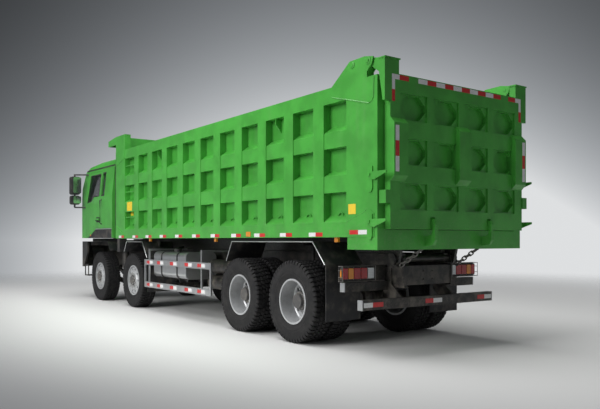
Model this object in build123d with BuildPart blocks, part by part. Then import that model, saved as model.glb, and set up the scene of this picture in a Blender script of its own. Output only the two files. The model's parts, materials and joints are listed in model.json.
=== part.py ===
from build123d import *
import os
from math import atan2, cos, degrees, hypot, radians, sin

os.makedirs("parts", exist_ok=True)

# Four-axle tipper truck. +X is forward, +Y is the truck's left and +Z is up. The origin is on
# the ground under the middle of the truck's length and width. Lengths are in millimetres.

# Clearances
pin_gap = 0.3            # radius gap round a pin, a shaft or a seated curved piece
move_gap = 8.0           # gap between pieces that move past each other
door_gap = 6.0           # shut line round a door

# Axles and wheels
spacing_12 = 1950.0      # axle 1 to axle 2
spacing_23 = 4300.0      # axle 2 to axle 3
spacing_34 = 1350.0      # axle 3 to axle 4
front_overhang = 1250.0  # axle 1 to the foremost face
tyre_radius = 542.5
tyre_width = 300.0
rim_radius = 285.75      # bead seat of the rim
rim_width = 230.0
flange_radius = 300.0
front_track = 2044.0     # between the middles of the front tyres
rear_outer_track = 2190.0
dual_spacing = 346.0     # between the middles of twin tyres
kingpin_inset = 140.0    # from the middle of a front tyre in to its kingpin

# Chassis frame
frame_half = 430.0       # outer faces of the side rails
rail_height = 300.0
rail_flange = 80.0
rail_web = 10.0
frame_top = 1060.0
frame_tail = 1260.0      # rails' ends behind axle 4
frame_nose = 150.0       # rails' ends behind the foremost face
subframe_height = 120.0
tip_behind = 1180.0      # tipping axis behind axle 4
tip_height = 1120.0
tip_tube_radius = 45.0
tip_angle = 45.0         # degrees

# Bed
bed_length = 7980.0
bed_behind = 1700.0      # bed's rear end behind axle 4
bed_width = 2550.0
bed_top = 3176.0
rib_depth = 110.0        # depth of the side recesses
wall = 12.0
skirt_bottom = 1382.0
skirt_top = 1562.0
ledge_rise = 90.0        # slope above the skirt
rail_drop = 190.0        # height of the top rail
front_panel = 500.0
rear_panel = 530.0
post_count = 10
post_width = 210.0
post_pitch = 646.0
last_bay = 430.0
rib_inset = 8.0          # side blocks stand this far inside the posts
floor_top = 1490.0
bearer_height = 100.0
beam_width = 90.0
headboard_rise = 314.0   # headboard above the bed's sides
headboard_depth = 60.0
guard_reach = 445.0      # cab guard forward of the headboard
guard_height = 120.0
rear_box_length = 510.0  # lower rear box of the bed
rear_box_bottom = 1240.0

# Tailgate
gate_width = 2350.0
gate_bottom = 1472.0
gate_rise = 14.0         # tailgate's slab above the bed's sides
gate_thickness = 92.0
gate_columns = 4
gate_rows = 3
cell_pitch_y = 540.0
cell_pitch_z = 500.0
cell_width = 430.0
cell_height = 300.0
cell_low_z = 1838.0      # middle of the lowest row
pocket_depth = 22.0
deep_depth = 76.0
pad_depth = 62.0
pad_width = 215.0
pad_bottom = 2000.0
pad_top = 2700.0
gate_pin_behind = 1539.0  # tailgate's hinge axis behind axle 4
gate_pin_rise = 184.0    # tailgate's hinge axis above the bed's sides
gate_pin_radius = 22.0
post_below_pin = 15.0    # top of a tailgate post below the pin
post_y = 1150.0          # middle of a tailgate post
gate_post_width = 216.0

# Cab
cab_rear_gap = 312.0     # bed to cab
cab_setback = 12.0       # cab's front panel behind the foremost face
cab_half = 1245.0
cab_bottom = 1395.0
cab_top = 3150.0
belt_z = 2300.0
cowl_z = 2120.0          # top of the front panel, where the windscreen starts
cab_corner = 95.0        # side faces come in this much at the front corners
cab_wall = 45.0
roof_half = 1120.0
cab_tilt_back = 122.0    # tilt axis behind the foremost face
cab_tilt_height = 1250.0
bumper_top = 1318.0
bumper_bottom = 730.0

# Hoist
hoist_base_height = 1150.0
hoist_closed = 1750.0
hoist_radius = 105.0
hoist_step = 14.0        # radius lost from one stage to the next
hoist_stages = 4

# Worked-out places
bed_tail_to_face = gate_thickness + move_gap + pad_depth
overall = front_overhang + spacing_12 + spacing_23 + spacing_34 + bed_behind + bed_tail_to_face
nose = overall / 2
axle_1 = nose - front_overhang
axle_2 = axle_1 - spacing_12
axle_3 = axle_2 - spacing_23
axle_4 = axle_3 - spacing_34
axle_z = tyre_radius
kingpin_y = front_track / 2 - kingpin_inset
frame_rear = axle_4 - frame_tail
frame_front = nose - frame_nose
frame_bottom = frame_top - rail_height
subframe_top = frame_top + subframe_height
tip_x = axle_4 - tip_behind
bed_rear = axle_4 - bed_behind
bed_front = bed_rear + bed_length
bed_half = bed_width / 2
headboard_top = bed_top + headboard_rise
recess_y = bed_half - rib_depth
inner_y = recess_y - wall
floor_bottom = floor_top - wall
bearer_bottom = floor_bottom - bearer_height
beam_bottom = subframe_top + move_gap
gate_front = bed_rear - move_gap
gate_face = gate_front - gate_thickness
gate_top = bed_top + gate_rise
gate_pin_x = axle_4 - gate_pin_behind
gate_pin_height = bed_top + gate_pin_rise
post_top = gate_pin_height - post_below_pin
cab_rear = bed_front + cab_rear_gap
cab_front = nose - cab_setback
hoist_x = bed_front + cab_rear_gap / 2


def block(x0, x1, y0, y1, z0, z1, mode=Mode.ADD):
    """A box between two corners."""
    with Locations(((x0 + x1) / 2, (y0 + y1) / 2, (z0 + z1) / 2)):
        Box(abs(x1 - x0), abs(y1 - y0), abs(z1 - z0), mode=mode)


def prism_y(points, y0, y1, mode=Mode.ADD, grow=0.0):
    """A side-view outline of (x, z) points, grown by a gap all round, made solid from y0 to y1."""
    with BuildSketch(Plane(origin=(0, y0, 0), x_dir=(1, 0, 0), z_dir=(0, -1, 0))) as outline:
        with BuildLine():
            Polyline(*points, close=True)
        make_face()
        if grow:
            offset(amount=grow, kind=Kind.INTERSECTION, mode=Mode.REPLACE)
    extrude(outline.sketch, amount=y1 - y0, dir=(0, 1, 0), mode=mode)


def prism_x(points, x0, x1, mode=Mode.ADD):
    """An end-view outline of (y, z) points, made solid from x0 to x1."""
    with BuildSketch(Plane(origin=(x0, 0, 0), x_dir=(0, 1, 0), z_dir=(1, 0, 0))) as outline:
        with BuildLine():
            Polyline(*points, close=True)
        make_face()
    extrude(outline.sketch, amount=x1 - x0, dir=(1, 0, 0), mode=mode)


def prism_z(points, z0, z1, mode=Mode.ADD):
    """A plan-view outline of (x, y) points, made solid from z0 to z1."""
    with BuildSketch(Plane.XY.offset(z0)) as outline:
        with BuildLine():
            Polyline(*points, close=True)
        make_face()
    extrude(outline.sketch, amount=z1 - z0, dir=(0, 0, 1), mode=mode)


def rod_y(x, z, radius, y0, y1, mode=Mode.ADD):
    """A round bar along Y."""
    with BuildSketch(Plane(origin=(x, y0, z), x_dir=(1, 0, 0), z_dir=(0, 1, 0))) as outline:
        Circle(radius)
    extrude(outline.sketch, amount=y1 - y0, dir=(0, 1, 0), mode=mode)


def rod_x(y, z, radius, x0, x1, mode=Mode.ADD):
    """A round bar along X."""
    with BuildSketch(Plane(origin=(x0, y, z), x_dir=(0, 1, 0), z_dir=(1, 0, 0))) as outline:
        Circle(radius)
    extrude(outline.sketch, amount=x1 - x0, dir=(1, 0, 0), mode=mode)


def rod_z(x, y, radius, z0, z1, mode=Mode.ADD):
    """A round bar along Z."""
    with BuildSketch(Plane.XY.offset(z0)) as outline:
        with Locations((x, y)):
            Circle(radius)
    extrude(outline.sketch, amount=z1 - z0, dir=(0, 0, 1), mode=mode)


def turned(x, y, profile, side, mode=Mode.ADD):
    """A wheel piece turned about the wheel's axis. The profile lists (r, out), with out measured
    towards the truck's side from y."""
    plane = Plane(origin=(x, y, axle_z), x_dir=(1, 0, 0), z_dir=(0, 0, 1))
    with BuildSketch(plane) as section:
        with BuildLine():
            Polyline(*[(r, side * out) for r, out in profile], close=True)
        make_face()
    revolve(section.sketch, axis=Axis((x, y, axle_z), (0, 1, 0)), mode=mode)


def save(piece, name):
    """Label a finished piece and write it."""
    piece.part.label = name
    export_step(piece.part, "parts/" + name + ".step")


# Chassis frame: two channel rails, crossmembers, the tipper's subframe and the tipping tube
crossmembers = (
    # x of the middle, lowest z, highest z
    (frame_rear + 60, frame_bottom + 30, frame_top - 30),
    (axle_4 - 600, frame_bottom + 60, frame_top - 40),
    ((axle_3 + axle_4) / 2, frame_bottom + 60, frame_top - 40),
    (axle_3 + 1100, frame_bottom + 60, frame_top - 40),
    (axle_3 + 2500, frame_bottom + 60, frame_top - 40),
    (axle_2 - 700, frame_bottom + 60, frame_top - 40),
    (hoist_x, frame_bottom + 60, frame_top - 10),
    (frame_front - 60, frame_bottom + 30, frame_top - 160),
)
crossmember_half = 50.0
hoist_plate_y = 118.0
hoist_plate = 22.0
hoist_pin_radius = 30.0
trunnion_x = (axle_3 + axle_4) / 2
trunnion_radius = 50.0
rear_spring_y = 492.0
spring_width = 90.0
front_spring_y = 430.0
hanger_reach = 640.0     # front spring eyes either side of their axle
cab_rest_x = cab_rear + 260.0
tilt_pin_radius = 26.0
towing_hole_radius = 10.5
towing_spacing_y = 160.0
towing_spacing_z = 100.0
towing_middle_z = 910.0


def make_frame():
    with BuildPart() as frame:
        web_y = frame_half - rail_web
        lip_y = frame_half - rail_flange
        low = frame_bottom
        channel = (
            (frame_half, low), (frame_half, frame_top), (lip_y, frame_top),
            (lip_y, frame_top - rail_web), (web_y, frame_top - rail_web),
            (web_y, low + rail_web), (lip_y, low + rail_web), (lip_y, low),
        )
        for side in (1, -1):
            prism_x([(side * y, z) for y, z in channel], frame_rear, frame_front)
            block(tip_x - 25, bed_front - 250, side * lip_y, side * frame_half, frame_top, subframe_top)
            # Hinge plate that carries the tipping tube at the end of each rail
            prism_y(
                [(frame_rear, low + 60), (frame_rear, frame_top), (tip_x - 60, tip_height + 30),
                 (tip_x + 10, subframe_top), (tip_x + 420, frame_top), (tip_x + 420, low + 60)],
                side * frame_half, side * (frame_half + 14),
            )
            # Trunnion bracket of the rear springs
            prism_y(
                [(trunnion_x - 90, axle_z - 70), (trunnion_x - 260, frame_top - 60),
                 (trunnion_x + 260, frame_top - 60), (trunnion_x + 90, axle_z - 70)],
                side * (frame_half - 1), side * (frame_half + 16),
            )
            rod_y(trunnion_x, axle_z, trunnion_radius, side * frame_half, side * 545)
            # Hangers of the front springs
            for x in (axle_1, axle_2):
                for end in (-1, 1):
                    x_eye = x + end * hanger_reach
                    block(x_eye - 45, x_eye + 45, side * 385, side * 475, low - 78, low + 2)
            # Rests under the rear of the cab
            block(cab_rest_x - 40, cab_rest_x + 40, side * lip_y, side * frame_half, frame_top - 5, 1300)
            # Cab tilt brackets
            prism_y(
                [(frame_front - 260, frame_top - 5), (nose - cab_tilt_back - 40, cab_tilt_height + 30),
                 (nose - cab_tilt_back + 34, cab_tilt_height + 30), (nose - cab_tilt_back + 34, frame_top - 150),
                 (frame_front - 260, frame_top - 150)],
                side * (frame_half - 34), side * (frame_half - 10),
            )
            rod_y(nose - cab_tilt_back, cab_tilt_height, tilt_pin_radius, side * (frame_half - 30),
                  side * (frame_half + 44))
            # Plates that carry the hoist's trunnion pin
            block(hoist_x - 60, hoist_x + 60, side * hoist_plate_y, side * (hoist_plate_y + hoist_plate),
                  frame_top - 40, hoist_base_height + 60)
            rod_y(hoist_x, hoist_base_height, hoist_pin_radius + pin_gap, side * (hoist_plate_y - 5),
                  side * (hoist_plate_y + hoist_plate + 5), mode=Mode.SUBTRACT)
        for x, z0, z1 in crossmembers:
            block(x - crossmember_half, x + crossmember_half, -web_y, web_y, z0, z1)
        # Bolt holes for a towing coupling, through the rearmost crossmember
        with BuildSketch(Plane(origin=(frame_rear - 5, 0, towing_middle_z), x_dir=(0, 1, 0), z_dir=(1, 0, 0))):
            with GridLocations(towing_spacing_y, towing_spacing_z, 2, 2):
                Circle(towing_hole_radius)
        extrude(amount=140, mode=Mode.SUBTRACT)
        block(cab_rest_x - 40, cab_rest_x + 40, -frame_half, frame_half, 1298, cab_bottom - move_gap)
        rod_y(tip_x, tip_height, tip_tube_radius, -560, 560)
        for side in (1, -1):
            rod_y(tip_x, tip_height, tip_tube_radius + 20, side * 545, side * 560)
    save(frame, "chassis_frame")


# Steered axles: a dropped beam with an eye at each kingpin, on two leaf springs
beam_eye_radius = 52.0
beam_eye_half = 55.0
kingpin_radius = 24.0


def make_front_axles():
    with BuildPart() as axles:
        eye = kingpin_y
        outline = [
            (eye, axle_z - 45), (eye, axle_z + 45), (eye - 90, axle_z + 40), (eye - 210, 505),
            (560, 452), (-560, 452), (-(eye - 210), 505), (-(eye - 90), axle_z + 40), (-eye, axle_z + 45),
            (-eye, axle_z - 45), (-(eye - 90), axle_z - 45), (-(eye - 190), 395), (-560, 345), (560, 345),
            (eye - 190, 395), (eye - 90, axle_z - 45),
        ]
        for x in (axle_1, axle_2):
            prism_x(outline, x - 50, x + 50)
            for side in (1, -1):
                rod_z(x, side * eye, beam_eye_radius, axle_z - beam_eye_half, axle_z + beam_eye_half)
                rod_z(x, side * eye, kingpin_radius + pin_gap, axle_z - 100, axle_z + 100, mode=Mode.SUBTRACT)
                # Leaf spring: thick at the axle, an eye under each hanger
                leaf = [
                    (x - hanger_reach, 640), (x - hanger_reach, 672), (x - 130, 560), (x + 130, 560),
                    (x + hanger_reach, 672), (x + hanger_reach, 640), (x + 420, 540), (x + 130, 452),
                    (x - 130, 452), (x - 420, 540),
                ]
                prism_y(leaf, side * (front_spring_y - 40), side * (front_spring_y + 40))
                for end in (-1, 1):
                    rod_y(x + end * hanger_reach, frame_bottom - 106, 28,
                          side * (front_spring_y - 40), side * (front_spring_y + 40))
    save(axles, "front_axles")


# Driven axles: housing with its differential, spindles into the hubs and the balanced springs
housing_radius = 78.0
spindle_radius = 58.0
pinion_reach = 290.0     # from an axle forward to its pinion's flange
bulge_radius = 205.0
chamber_y = 320.0
chamber_radius = 78.0
chamber_length = 210.0


def make_rear_axles():
    with BuildPart() as axles:
        for x in (axle_3, axle_4):
            rod_y(x, axle_z, housing_radius, -590, 590)
            rod_y(x, axle_z, spindle_radius, -(rear_outer_track / 2 - 60), rear_outer_track / 2 - 60)
            with BuildSketch(Plane(origin=(x, 0, axle_z), x_dir=(1, 0, 0), z_dir=(0, 1, 0))):
                Circle(bulge_radius)
            extrude(amount=95, both=True, taper=18)
            rod_x(0, axle_z, 110, x, x + pinion_reach)
            for side in (1, -1):
                # Pad that the spring's end sits on
                block(x - 70, x + 70, side * (rear_spring_y - 50), side * (rear_spring_y + 40), axle_z, 640)
                # Brake chamber behind the housing
                rod_x(side * chamber_y, axle_z + 30, chamber_radius, x - housing_radius - chamber_length,
                      x - housing_radius + 40)
                rod_x(side * chamber_y, axle_z + 30, chamber_radius + 12, x - housing_radius - 90,
                      x - housing_radius - 70)
        for side in (1, -1):
            leaf = [
                (axle_4 - 110, 640), (axle_4 - 110, 665), (axle_4 + 330, 730), (trunnion_x - 110, 790),
                (trunnion_x + 110, 790), (axle_3 - 330, 730), (axle_3 + 110, 665), (axle_3 + 110, 640),
                (trunnion_x + 90, 640), (trunnion_x + 90, 470), (trunnion_x - 90, 470),
                (trunnion_x - 90, 640),
            ]
            prism_y(leaf, side * (rear_spring_y - 45), side * (rear_spring_y + 45))
            rod_y(trunnion_x, axle_z, trunnion_radius + pin_gap, side * 400, side * 600, mode=Mode.SUBTRACT)
    save(axles, "rear_axles")


# Driveline: the engine as one plain block, the gearbox and the shafts to the driven axles
shaft_radius = 55.0


def make_driveline():
    with BuildPart() as driveline:
        block(axle_1 - 500, axle_1 + 750, -330, 330, 500, 1350)
        block(axle_1 - 1350, axle_1 - 500, -190, 190, 500, 790)
        bearing_x = axle_3 + 2500
        rod_x(0, 640, shaft_radius, bearing_x + 50, axle_1 - 1350)
        block(bearing_x - 50, bearing_x + 50, -80, 80, 560, frame_bottom + 60)
        rod_x(0, 600, shaft_radius, axle_3 + pinion_reach, bearing_x)
        rod_x(0, axle_z, shaft_radius, axle_4 + pinion_reach, axle_3 - bulge_radius - move_gap)
    save(driveline, "driveline")


# Knuckles: two lugs round the axle's eye, a kingpin, the spindle and the brake's back plate
lug_half = 62.0
spindle_front = 42.0


def make_knuckle(name, x, side):
    y = side * kingpin_y
    with BuildPart() as knuckle:
        for end in (-1, 1):
            z0 = axle_z + end * (beam_eye_half + move_gap)
            rod_z(x, y, lug_half, z0, z0 + end * 50)
        rod_z(x, y, kingpin_radius, axle_z - 110, axle_z + 110)
        block(x - 60, x + 60, y + side * (beam_eye_radius + 8), y + side * (beam_eye_radius + 38),
              axle_z - beam_eye_half - move_gap - 50, axle_z + beam_eye_half + move_gap + 50)
        for end in (-1, 1):
            z0 = axle_z + end * (beam_eye_half + move_gap)
            block(x - 60, x + 60, y, y + side * (beam_eye_radius + 38), z0, z0 + end * 50)
        rod_y(x, axle_z, spindle_front, y + side * (beam_eye_radius + 10), y + side * 215)
        rod_y(x, axle_z, 186, y + side * (beam_eye_radius + 12), y + side * (beam_eye_radius + 22))
    save(knuckle, name)


# Wheels: tyre, and rim with its disc, hub and brake drum
bead_half = rim_width / 2 - 5
tyre_sides = 26          # flats round a tyre, an even number with one of them on the ground
tyre_bulge = 440.0       # radius where the side wall is widest
tread_half = 124.0       # half width of the tread
bulge_band = 4.0         # upright band at the widest radius
hand_holes = 10
hand_hole_radius = 24.0


def tyre_form():
    """One tyre round the origin with its axle along Y: a many-sided ring with sloped shoulders and
    side walls that fall in to the beads."""
    turn = 90 + 180 / tyre_sides
    with BuildPart() as form:
        with BuildSketch(Plane.XZ):
            RegularPolygon(tyre_radius, tyre_sides, major_radius=False, rotation=turn)
            RegularPolygon(rim_radius + pin_gap, tyre_sides, major_radius=False, rotation=turn,
                           mode=Mode.SUBTRACT)
        extrude(amount=tyre_width / 2, both=True)
        for end in (0, -1):
            wall = form.faces().sort_by(Axis.Y)[end]
            chamfer(wall.outer_wire().edges(), length=tyre_radius - tyre_bulge,
                    length2=tyre_width / 2 - tread_half, reference=wall)
            wall = form.faces().sort_by(Axis.Y)[end]
            chamfer(wall.inner_wires()[0].edges(), length=tyre_bulge - bulge_band - rim_radius - pin_gap,
                    length2=tyre_width / 2 - bead_half, reference=wall)
    return form.part


def make_tyres(name, x, middles):
    with BuildPart() as tyre:
        for y in middles:
            with Locations((x, y, axle_z)):
                add(tyre_shape)
    save(tyre, name)


def rim_ring(middle):
    """Barrel and flanges of one rim as a (radius, out) profile."""
    low = middle - rim_width / 2
    high = middle + rim_width / 2
    inside = rim_radius - 9
    return (
        (inside, low - 12), (flange_radius, low - 12), (flange_radius, low - 3),
        (rim_radius, low - 3), (rim_radius, high + 3), (flange_radius, high + 3),
        (flange_radius, high + 12), (inside, high + 12),
    )


def drill_hand_holes(x, y, side, circle, start, depth):
    """Round holes through a wheel disc."""
    place = Plane(origin=(x, y, axle_z), x_dir=(1, 0, 0), z_dir=(0, side, 0))
    with BuildSketch(place.offset(start)) as outline:
        with PolarLocations(circle, hand_holes):
            Circle(hand_hole_radius)
    extrude(outline.sketch, amount=depth, mode=Mode.SUBTRACT)


def make_front_rim(name, x, side):
    y = side * front_track / 2
    weld = rim_radius - 6
    with BuildPart() as rim:
        turned(x, y, rim_ring(0), side)
        # Disc that bulges outwards, with a flat ring for its holes, and the hub cap
        turned(x, y, ((weld, 84), (258, 116), (194, 116), (170, 134), (112, 134), (104, 152), (70, 160),
                      (0, 160), (0, 112), (168, 112), (188, 104), (252, 104), (weld, 70)), side)
        # Hub round the spindle, and the brake drum
        turned(x, y, ((spindle_front + pin_gap, 10), (78, 10), (78, 113), (0, 113), (0, 82),
                      (spindle_front + pin_gap, 82)), side)
        turned(x, y, ((198, -60), (198, 106), (180, 109), (180, -60)), side)
        drill_hand_holes(x, y, side, 226, 60, 80)
    save(rim, name)


def make_rear_rim(name, x, side):
    y = side * (rear_outer_track - dual_spacing) / 2
    half = dual_spacing / 2
    weld = rim_radius - 6
    with BuildPart() as rim:
        turned(x, y, rim_ring(half), side)
        turned(x, y, rim_ring(-half), side)
        # Two deep dished discs back to back, each with a flat ring for its holes
        for way in (1, -1):
            dish = ((weld, 62), (weld, 84), (258, 68), (202, 68), (178, 13), (120, 13), (120, 0), (186, 0),
                    (206, 56), (256, 56))
            turned(x, y, [(r, way * out) for r, out in dish], side)
        # Hub with its stepped cap, and the brake drum
        turned(x, y, ((spindle_radius + pin_gap, -60), (150, -60), (150, 60), (128, 66), (122, 176), (100, 184),
                      (94, 222), (0, 228), (0, 150), (spindle_radius + pin_gap, 150)), side)
        turned(x, y, ((149, -40), (149, -60), (182, -60), (182, -230), (200, -230), (200, -40)), side)
        drill_hand_holes(x, y, side, 231, -100, 200)
    save(rim, name)


# Bed: floor on bearers and beams, ribbed sides, headboard with cab guard, rear frame
side_ribs = (
    # slope's back edge z, front edge z, underside z
    (2714.0, 2640.0, 2447.0),
    (2179.0, 2116.0, 1915.0),
)
bracket_plate = 16.0
bracket_ys = (bed_half - 110, bed_half - bracket_plate - 4)
ear_y = 482.0
ear_width = 40.0
doghouse_half = 215.0
overlay = 5.0            # thickness of the plates laid over the bed's corners
corner_plates = (
    # corners of each plate as (x from axle 4, z)
    ((-903, 3055), (-1560, 2881), (-1608, 2893), (-1637, 2930), (-1645, 3165), (-903, 3165)),
    ((-941, 1384), (-941, 1480), (-1512, 1680), (-1600, 1688), (-1645, 1650), (-1645, 1384)),
    ((5801, 3007), (6278, 2879), (6278, 3165), (5801, 3165)),
    ((5801, 1384), (5801, 1440), (6060, 1560), (6278, 1640), (6278, 1384)),
)
gusset_bays = (1, 7)     # bays with a gusset, counted from the rear
rung_zs = (2839.0, 2313.0, 1806.0)
rung_radius = 11.0
loop_radius = 55.0
loop_wire = 14.0
loop_z = 1634.0


def hoist_travel():
    """Length gained, swing in degrees and lean against the bed, at the full tip angle."""
    dx = hoist_x - tip_x
    dz = hoist_base_height + hoist_closed - tip_height
    tilt = radians(tip_angle)
    eye_x = tip_x + dx * cos(tilt) - dz * sin(tilt)
    eye_z = tip_height + dx * sin(tilt) + dz * cos(tilt)
    length = hypot(eye_x - hoist_x, eye_z - hoist_base_height)
    swing = degrees(atan2(hoist_x - eye_x, eye_z - hoist_base_height))
    return length - hoist_closed, swing, tip_angle - swing


hoist_gain, hoist_swing, hoist_lean = hoist_travel()
hoist_eye_z = hoist_base_height + hoist_closed
doghouse_top = hoist_eye_z - 250.0
doghouse_depth = sin(radians(hoist_lean)) * (hoist_eye_z - beam_bottom) + 40.0


def make_bed_floor():
    with BuildPart() as floor:
        block(bed_rear + 20, bed_front - headboard_depth - wall, -inner_y, inner_y, floor_bottom, floor_top)
        first = bed_rear + rear_panel + last_bay + post_width / 2
        for index in range(post_count):
            x = first + index * post_pitch
            block(x - 40, x + 40, -inner_y, inner_y, bearer_bottom, floor_bottom)
        for x in (tip_x, bed_front - front_panel / 2 - 60):
            block(x - 60, x + 60, -inner_y, inner_y, bearer_bottom, floor_bottom)
        for side in (1, -1):
            block(tip_x + 25, bed_front - front_panel / 2, side * (frame_half - rail_flange),
                  side * (frame_half - move_gap), beam_bottom, bearer_bottom)
            # Hinge ears on the tipping tube
            prism_y(
                [(tip_x - 85, tip_height), (tip_x - 150, bearer_bottom), (tip_x + 200, bearer_bottom),
                 (tip_x + 85, tip_height)],
                side * ear_y, side * (ear_y + ear_width),
            )
            rod_y(tip_x, tip_height, 85, side * ear_y, side * (ear_y + ear_width))
            rod_y(tip_x, tip_height, tip_tube_radius + pin_gap, side * (ear_y - 10),
                  side * (ear_y + ear_width + 10), mode=Mode.SUBTRACT)
        # Notch for the hoist's housing
        block(bed_front - headboard_depth - doghouse_depth - 40, bed_front, -doghouse_half - wall,
              doghouse_half + wall, beam_bottom, floor_top + 1, mode=Mode.SUBTRACT)
    save(floor, "bed_floor")


def bay_middles():
    """Middle of each gap between two posts, from the rear."""
    first = bed_rear + rear_panel + last_bay
    return [first + index * post_pitch + (post_width + post_pitch) / 2 for index in range(post_count - 1)]


def dress_side(side):
    """What stands on a bed side: overlay plates at its corners, gussets under the top rail, rungs in
    the foremost bay and tie loops on the ledge."""
    rail_low = bed_top - rail_drop
    for plate in corner_plates:
        prism_y([(axle_4 + x, z) for x, z in plate], side * (bed_half - 1), side * (bed_half + overlay))
    middles = bay_middles()
    for index in gusset_bays:
        gusset = [(recess_y - 1, rail_low + 1), (bed_half - 15, rail_low + 1), (bed_half - 15, rail_low - 75),
                  (recess_y - 1, rail_low - 190)]
        prism_x([(side * y, z) for y, z in gusset], middles[index] - 6, middles[index] + 6)
    front_bay = (bed_rear + rear_panel + last_bay + (post_count - 1) * post_pitch + post_width,
                 bed_front - front_panel)
    for z in rung_zs:
        rod_x(side * (bed_half - 25), z, rung_radius, front_bay[0] - 1, front_bay[1] + 1)
    loops = [bed_rear + rear_panel + last_bay / 2] + middles + [(front_bay[0] + front_bay[1]) / 2]
    for x in loops:
        arch = [(r * cos(radians(turn)), r * sin(radians(turn)))
                for r, turns in ((loop_radius, (0, 45, 90, 135, 180)),
                                 (loop_radius - loop_wire, (180, 135, 90, 45, 0)))
                for turn in turns]
        prism_y([(x + along, loop_z + up) for along, up in arch], side * (recess_y + 6),
                side * (recess_y + 6 + loop_wire))


def make_bed_side(name, side):
    with BuildPart() as panel:
        def wide(y0, y1, x0, x1, z0, z1, mode=Mode.ADD):
            block(x0, x1, side * y0, side * y1, z0, z1, mode)

        wide(inner_y, recess_y, bed_rear, bed_front, skirt_bottom, bed_top)
        wide(recess_y, bed_half, bed_rear, bed_front, bed_top - rail_drop, bed_top)
        skirt = [(recess_y, skirt_bottom), (bed_half, skirt_bottom), (bed_half, skirt_top),
                 (recess_y, skirt_top + ledge_rise)]
        prism_x([(side * y, z) for y, z in skirt], bed_rear, bed_front)
        wide(recess_y, bed_half, bed_rear, bed_rear + rear_panel, skirt_bottom, bed_top)
        wide(inner_y, bed_half, bed_front - front_panel, bed_front, skirt_bottom, headboard_top)
        first = bed_rear + rear_panel + last_bay
        for index in range(post_count):
            x = first + index * post_pitch
            wide(recess_y, bed_half, x, x + post_width, skirt_bottom, bed_top)
        for back_z, edge_z, low_z in side_ribs:
            face_y = bed_half - rib_inset
            rib = [(recess_y, back_z), (face_y, edge_z), (face_y, low_z), (recess_y, low_z)]
            prism_x([(side * y, z) for y, z in rib], bed_rear + rear_panel, bed_front - front_panel)
        dress_side(side)
        # Plates on the top rail that carry the tailgate's pin
        plate = [
            (axle_4 - 880, bed_top - 5), (axle_4 - 1223, gate_pin_height + 54), (axle_4 - 1479, gate_pin_height + 59),
            (gate_pin_x - 88, gate_pin_height + 30), (gate_pin_x - 60, gate_pin_height - 50),
            (gate_pin_x + 15, gate_pin_height - 117), (gate_pin_x + 15, bed_top - 5),
        ]
        for y in bracket_ys:
            prism_y(plate, side * y, side * (y + bracket_plate))
        rod_y(gate_pin_x, gate_pin_height, gate_pin_radius, side * (bracket_ys[0] - 6), side * (bed_half + 12))
        rod_y(axle_4 - 1271, gate_pin_height + 7, 26, side * (bracket_ys[0] - 6), side * (bed_half + 8))
    save(panel, name)


def make_headboard():
    back = bed_front - headboard_depth - wall
    face = bed_front - headboard_depth
    with BuildPart() as board:
        block(back, face, -inner_y, inner_y, skirt_bottom, headboard_top)
        # Uprights and rails on the front face
        for y in (-inner_y + 60, -700, 700, inner_y - 60):
            block(face, bed_front, y - 60, y + 60, skirt_bottom, headboard_top)
        for z in (skirt_bottom + 60, headboard_top - 60):
            block(face, bed_front, -inner_y, inner_y, z - 60, z + 60)
        # Sloped housing that the hoist leans into
        outer = [(back, beam_bottom + 200), (back, doghouse_top + 40), (back - doghouse_depth - wall, floor_top),
                 (back - doghouse_depth - wall, beam_bottom + 200)]
        prism_y(outer, -doghouse_half - wall, doghouse_half + wall)
        inner = [(bed_front + 10, beam_bottom), (bed_front + 10, doghouse_top), (back + 1, doghouse_top),
                 (back - doghouse_depth, floor_top), (back - doghouse_depth, beam_bottom)]
        prism_y(inner, -doghouse_half, doghouse_half, mode=Mode.SUBTRACT)
        # Cab guard
        tip = bed_front + guard_reach
        low = headboard_top - guard_height - 40
        side_plate = [(bed_front, headboard_top), (tip, headboard_top - 45), (tip, low), (bed_front, low)]
        for side in (1, -1):
            prism_y(side_plate, side * (bed_half - 14), side * bed_half)
        shelf = [(bed_front, headboard_top), (tip, headboard_top - 45), (tip, headboard_top - 57),
                 (bed_front, headboard_top - 12)]
        prism_y(shelf, -bed_half, bed_half)
        block(tip - 14, tip, -bed_half, bed_half, low, headboard_top - 45)
        # Ears for the hoist's eye
        for side in (1, -1):
            prism_y(
                [(face, hoist_eye_z - 130), (face, hoist_eye_z + 130), (hoist_x + 40, hoist_eye_z + 50),
                 (hoist_x + 40, hoist_eye_z - 50)],
                side * 75, side * 100,
            )
        block(face, bed_front, -100, 100, hoist_eye_z - 130, hoist_eye_z + 130)
    save(board, "bed_headboard")


sill_depth = 60.0
hook_ys = (505.0, -505.0)
hook_width = 42.0
hook_slot = 74.0
latch_plate = 14.0
latch_arm = 12.0
latch_pin_x = bed_rear + 106.0
latches = (
    # pin z, lowest and highest z of the hanging plate, stand-off from the bed's side
    (2080.0, 1885.0, 2172.0, 0.0),
    (1556.0, 1356.0, 1640.0, overlay),
)


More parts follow.
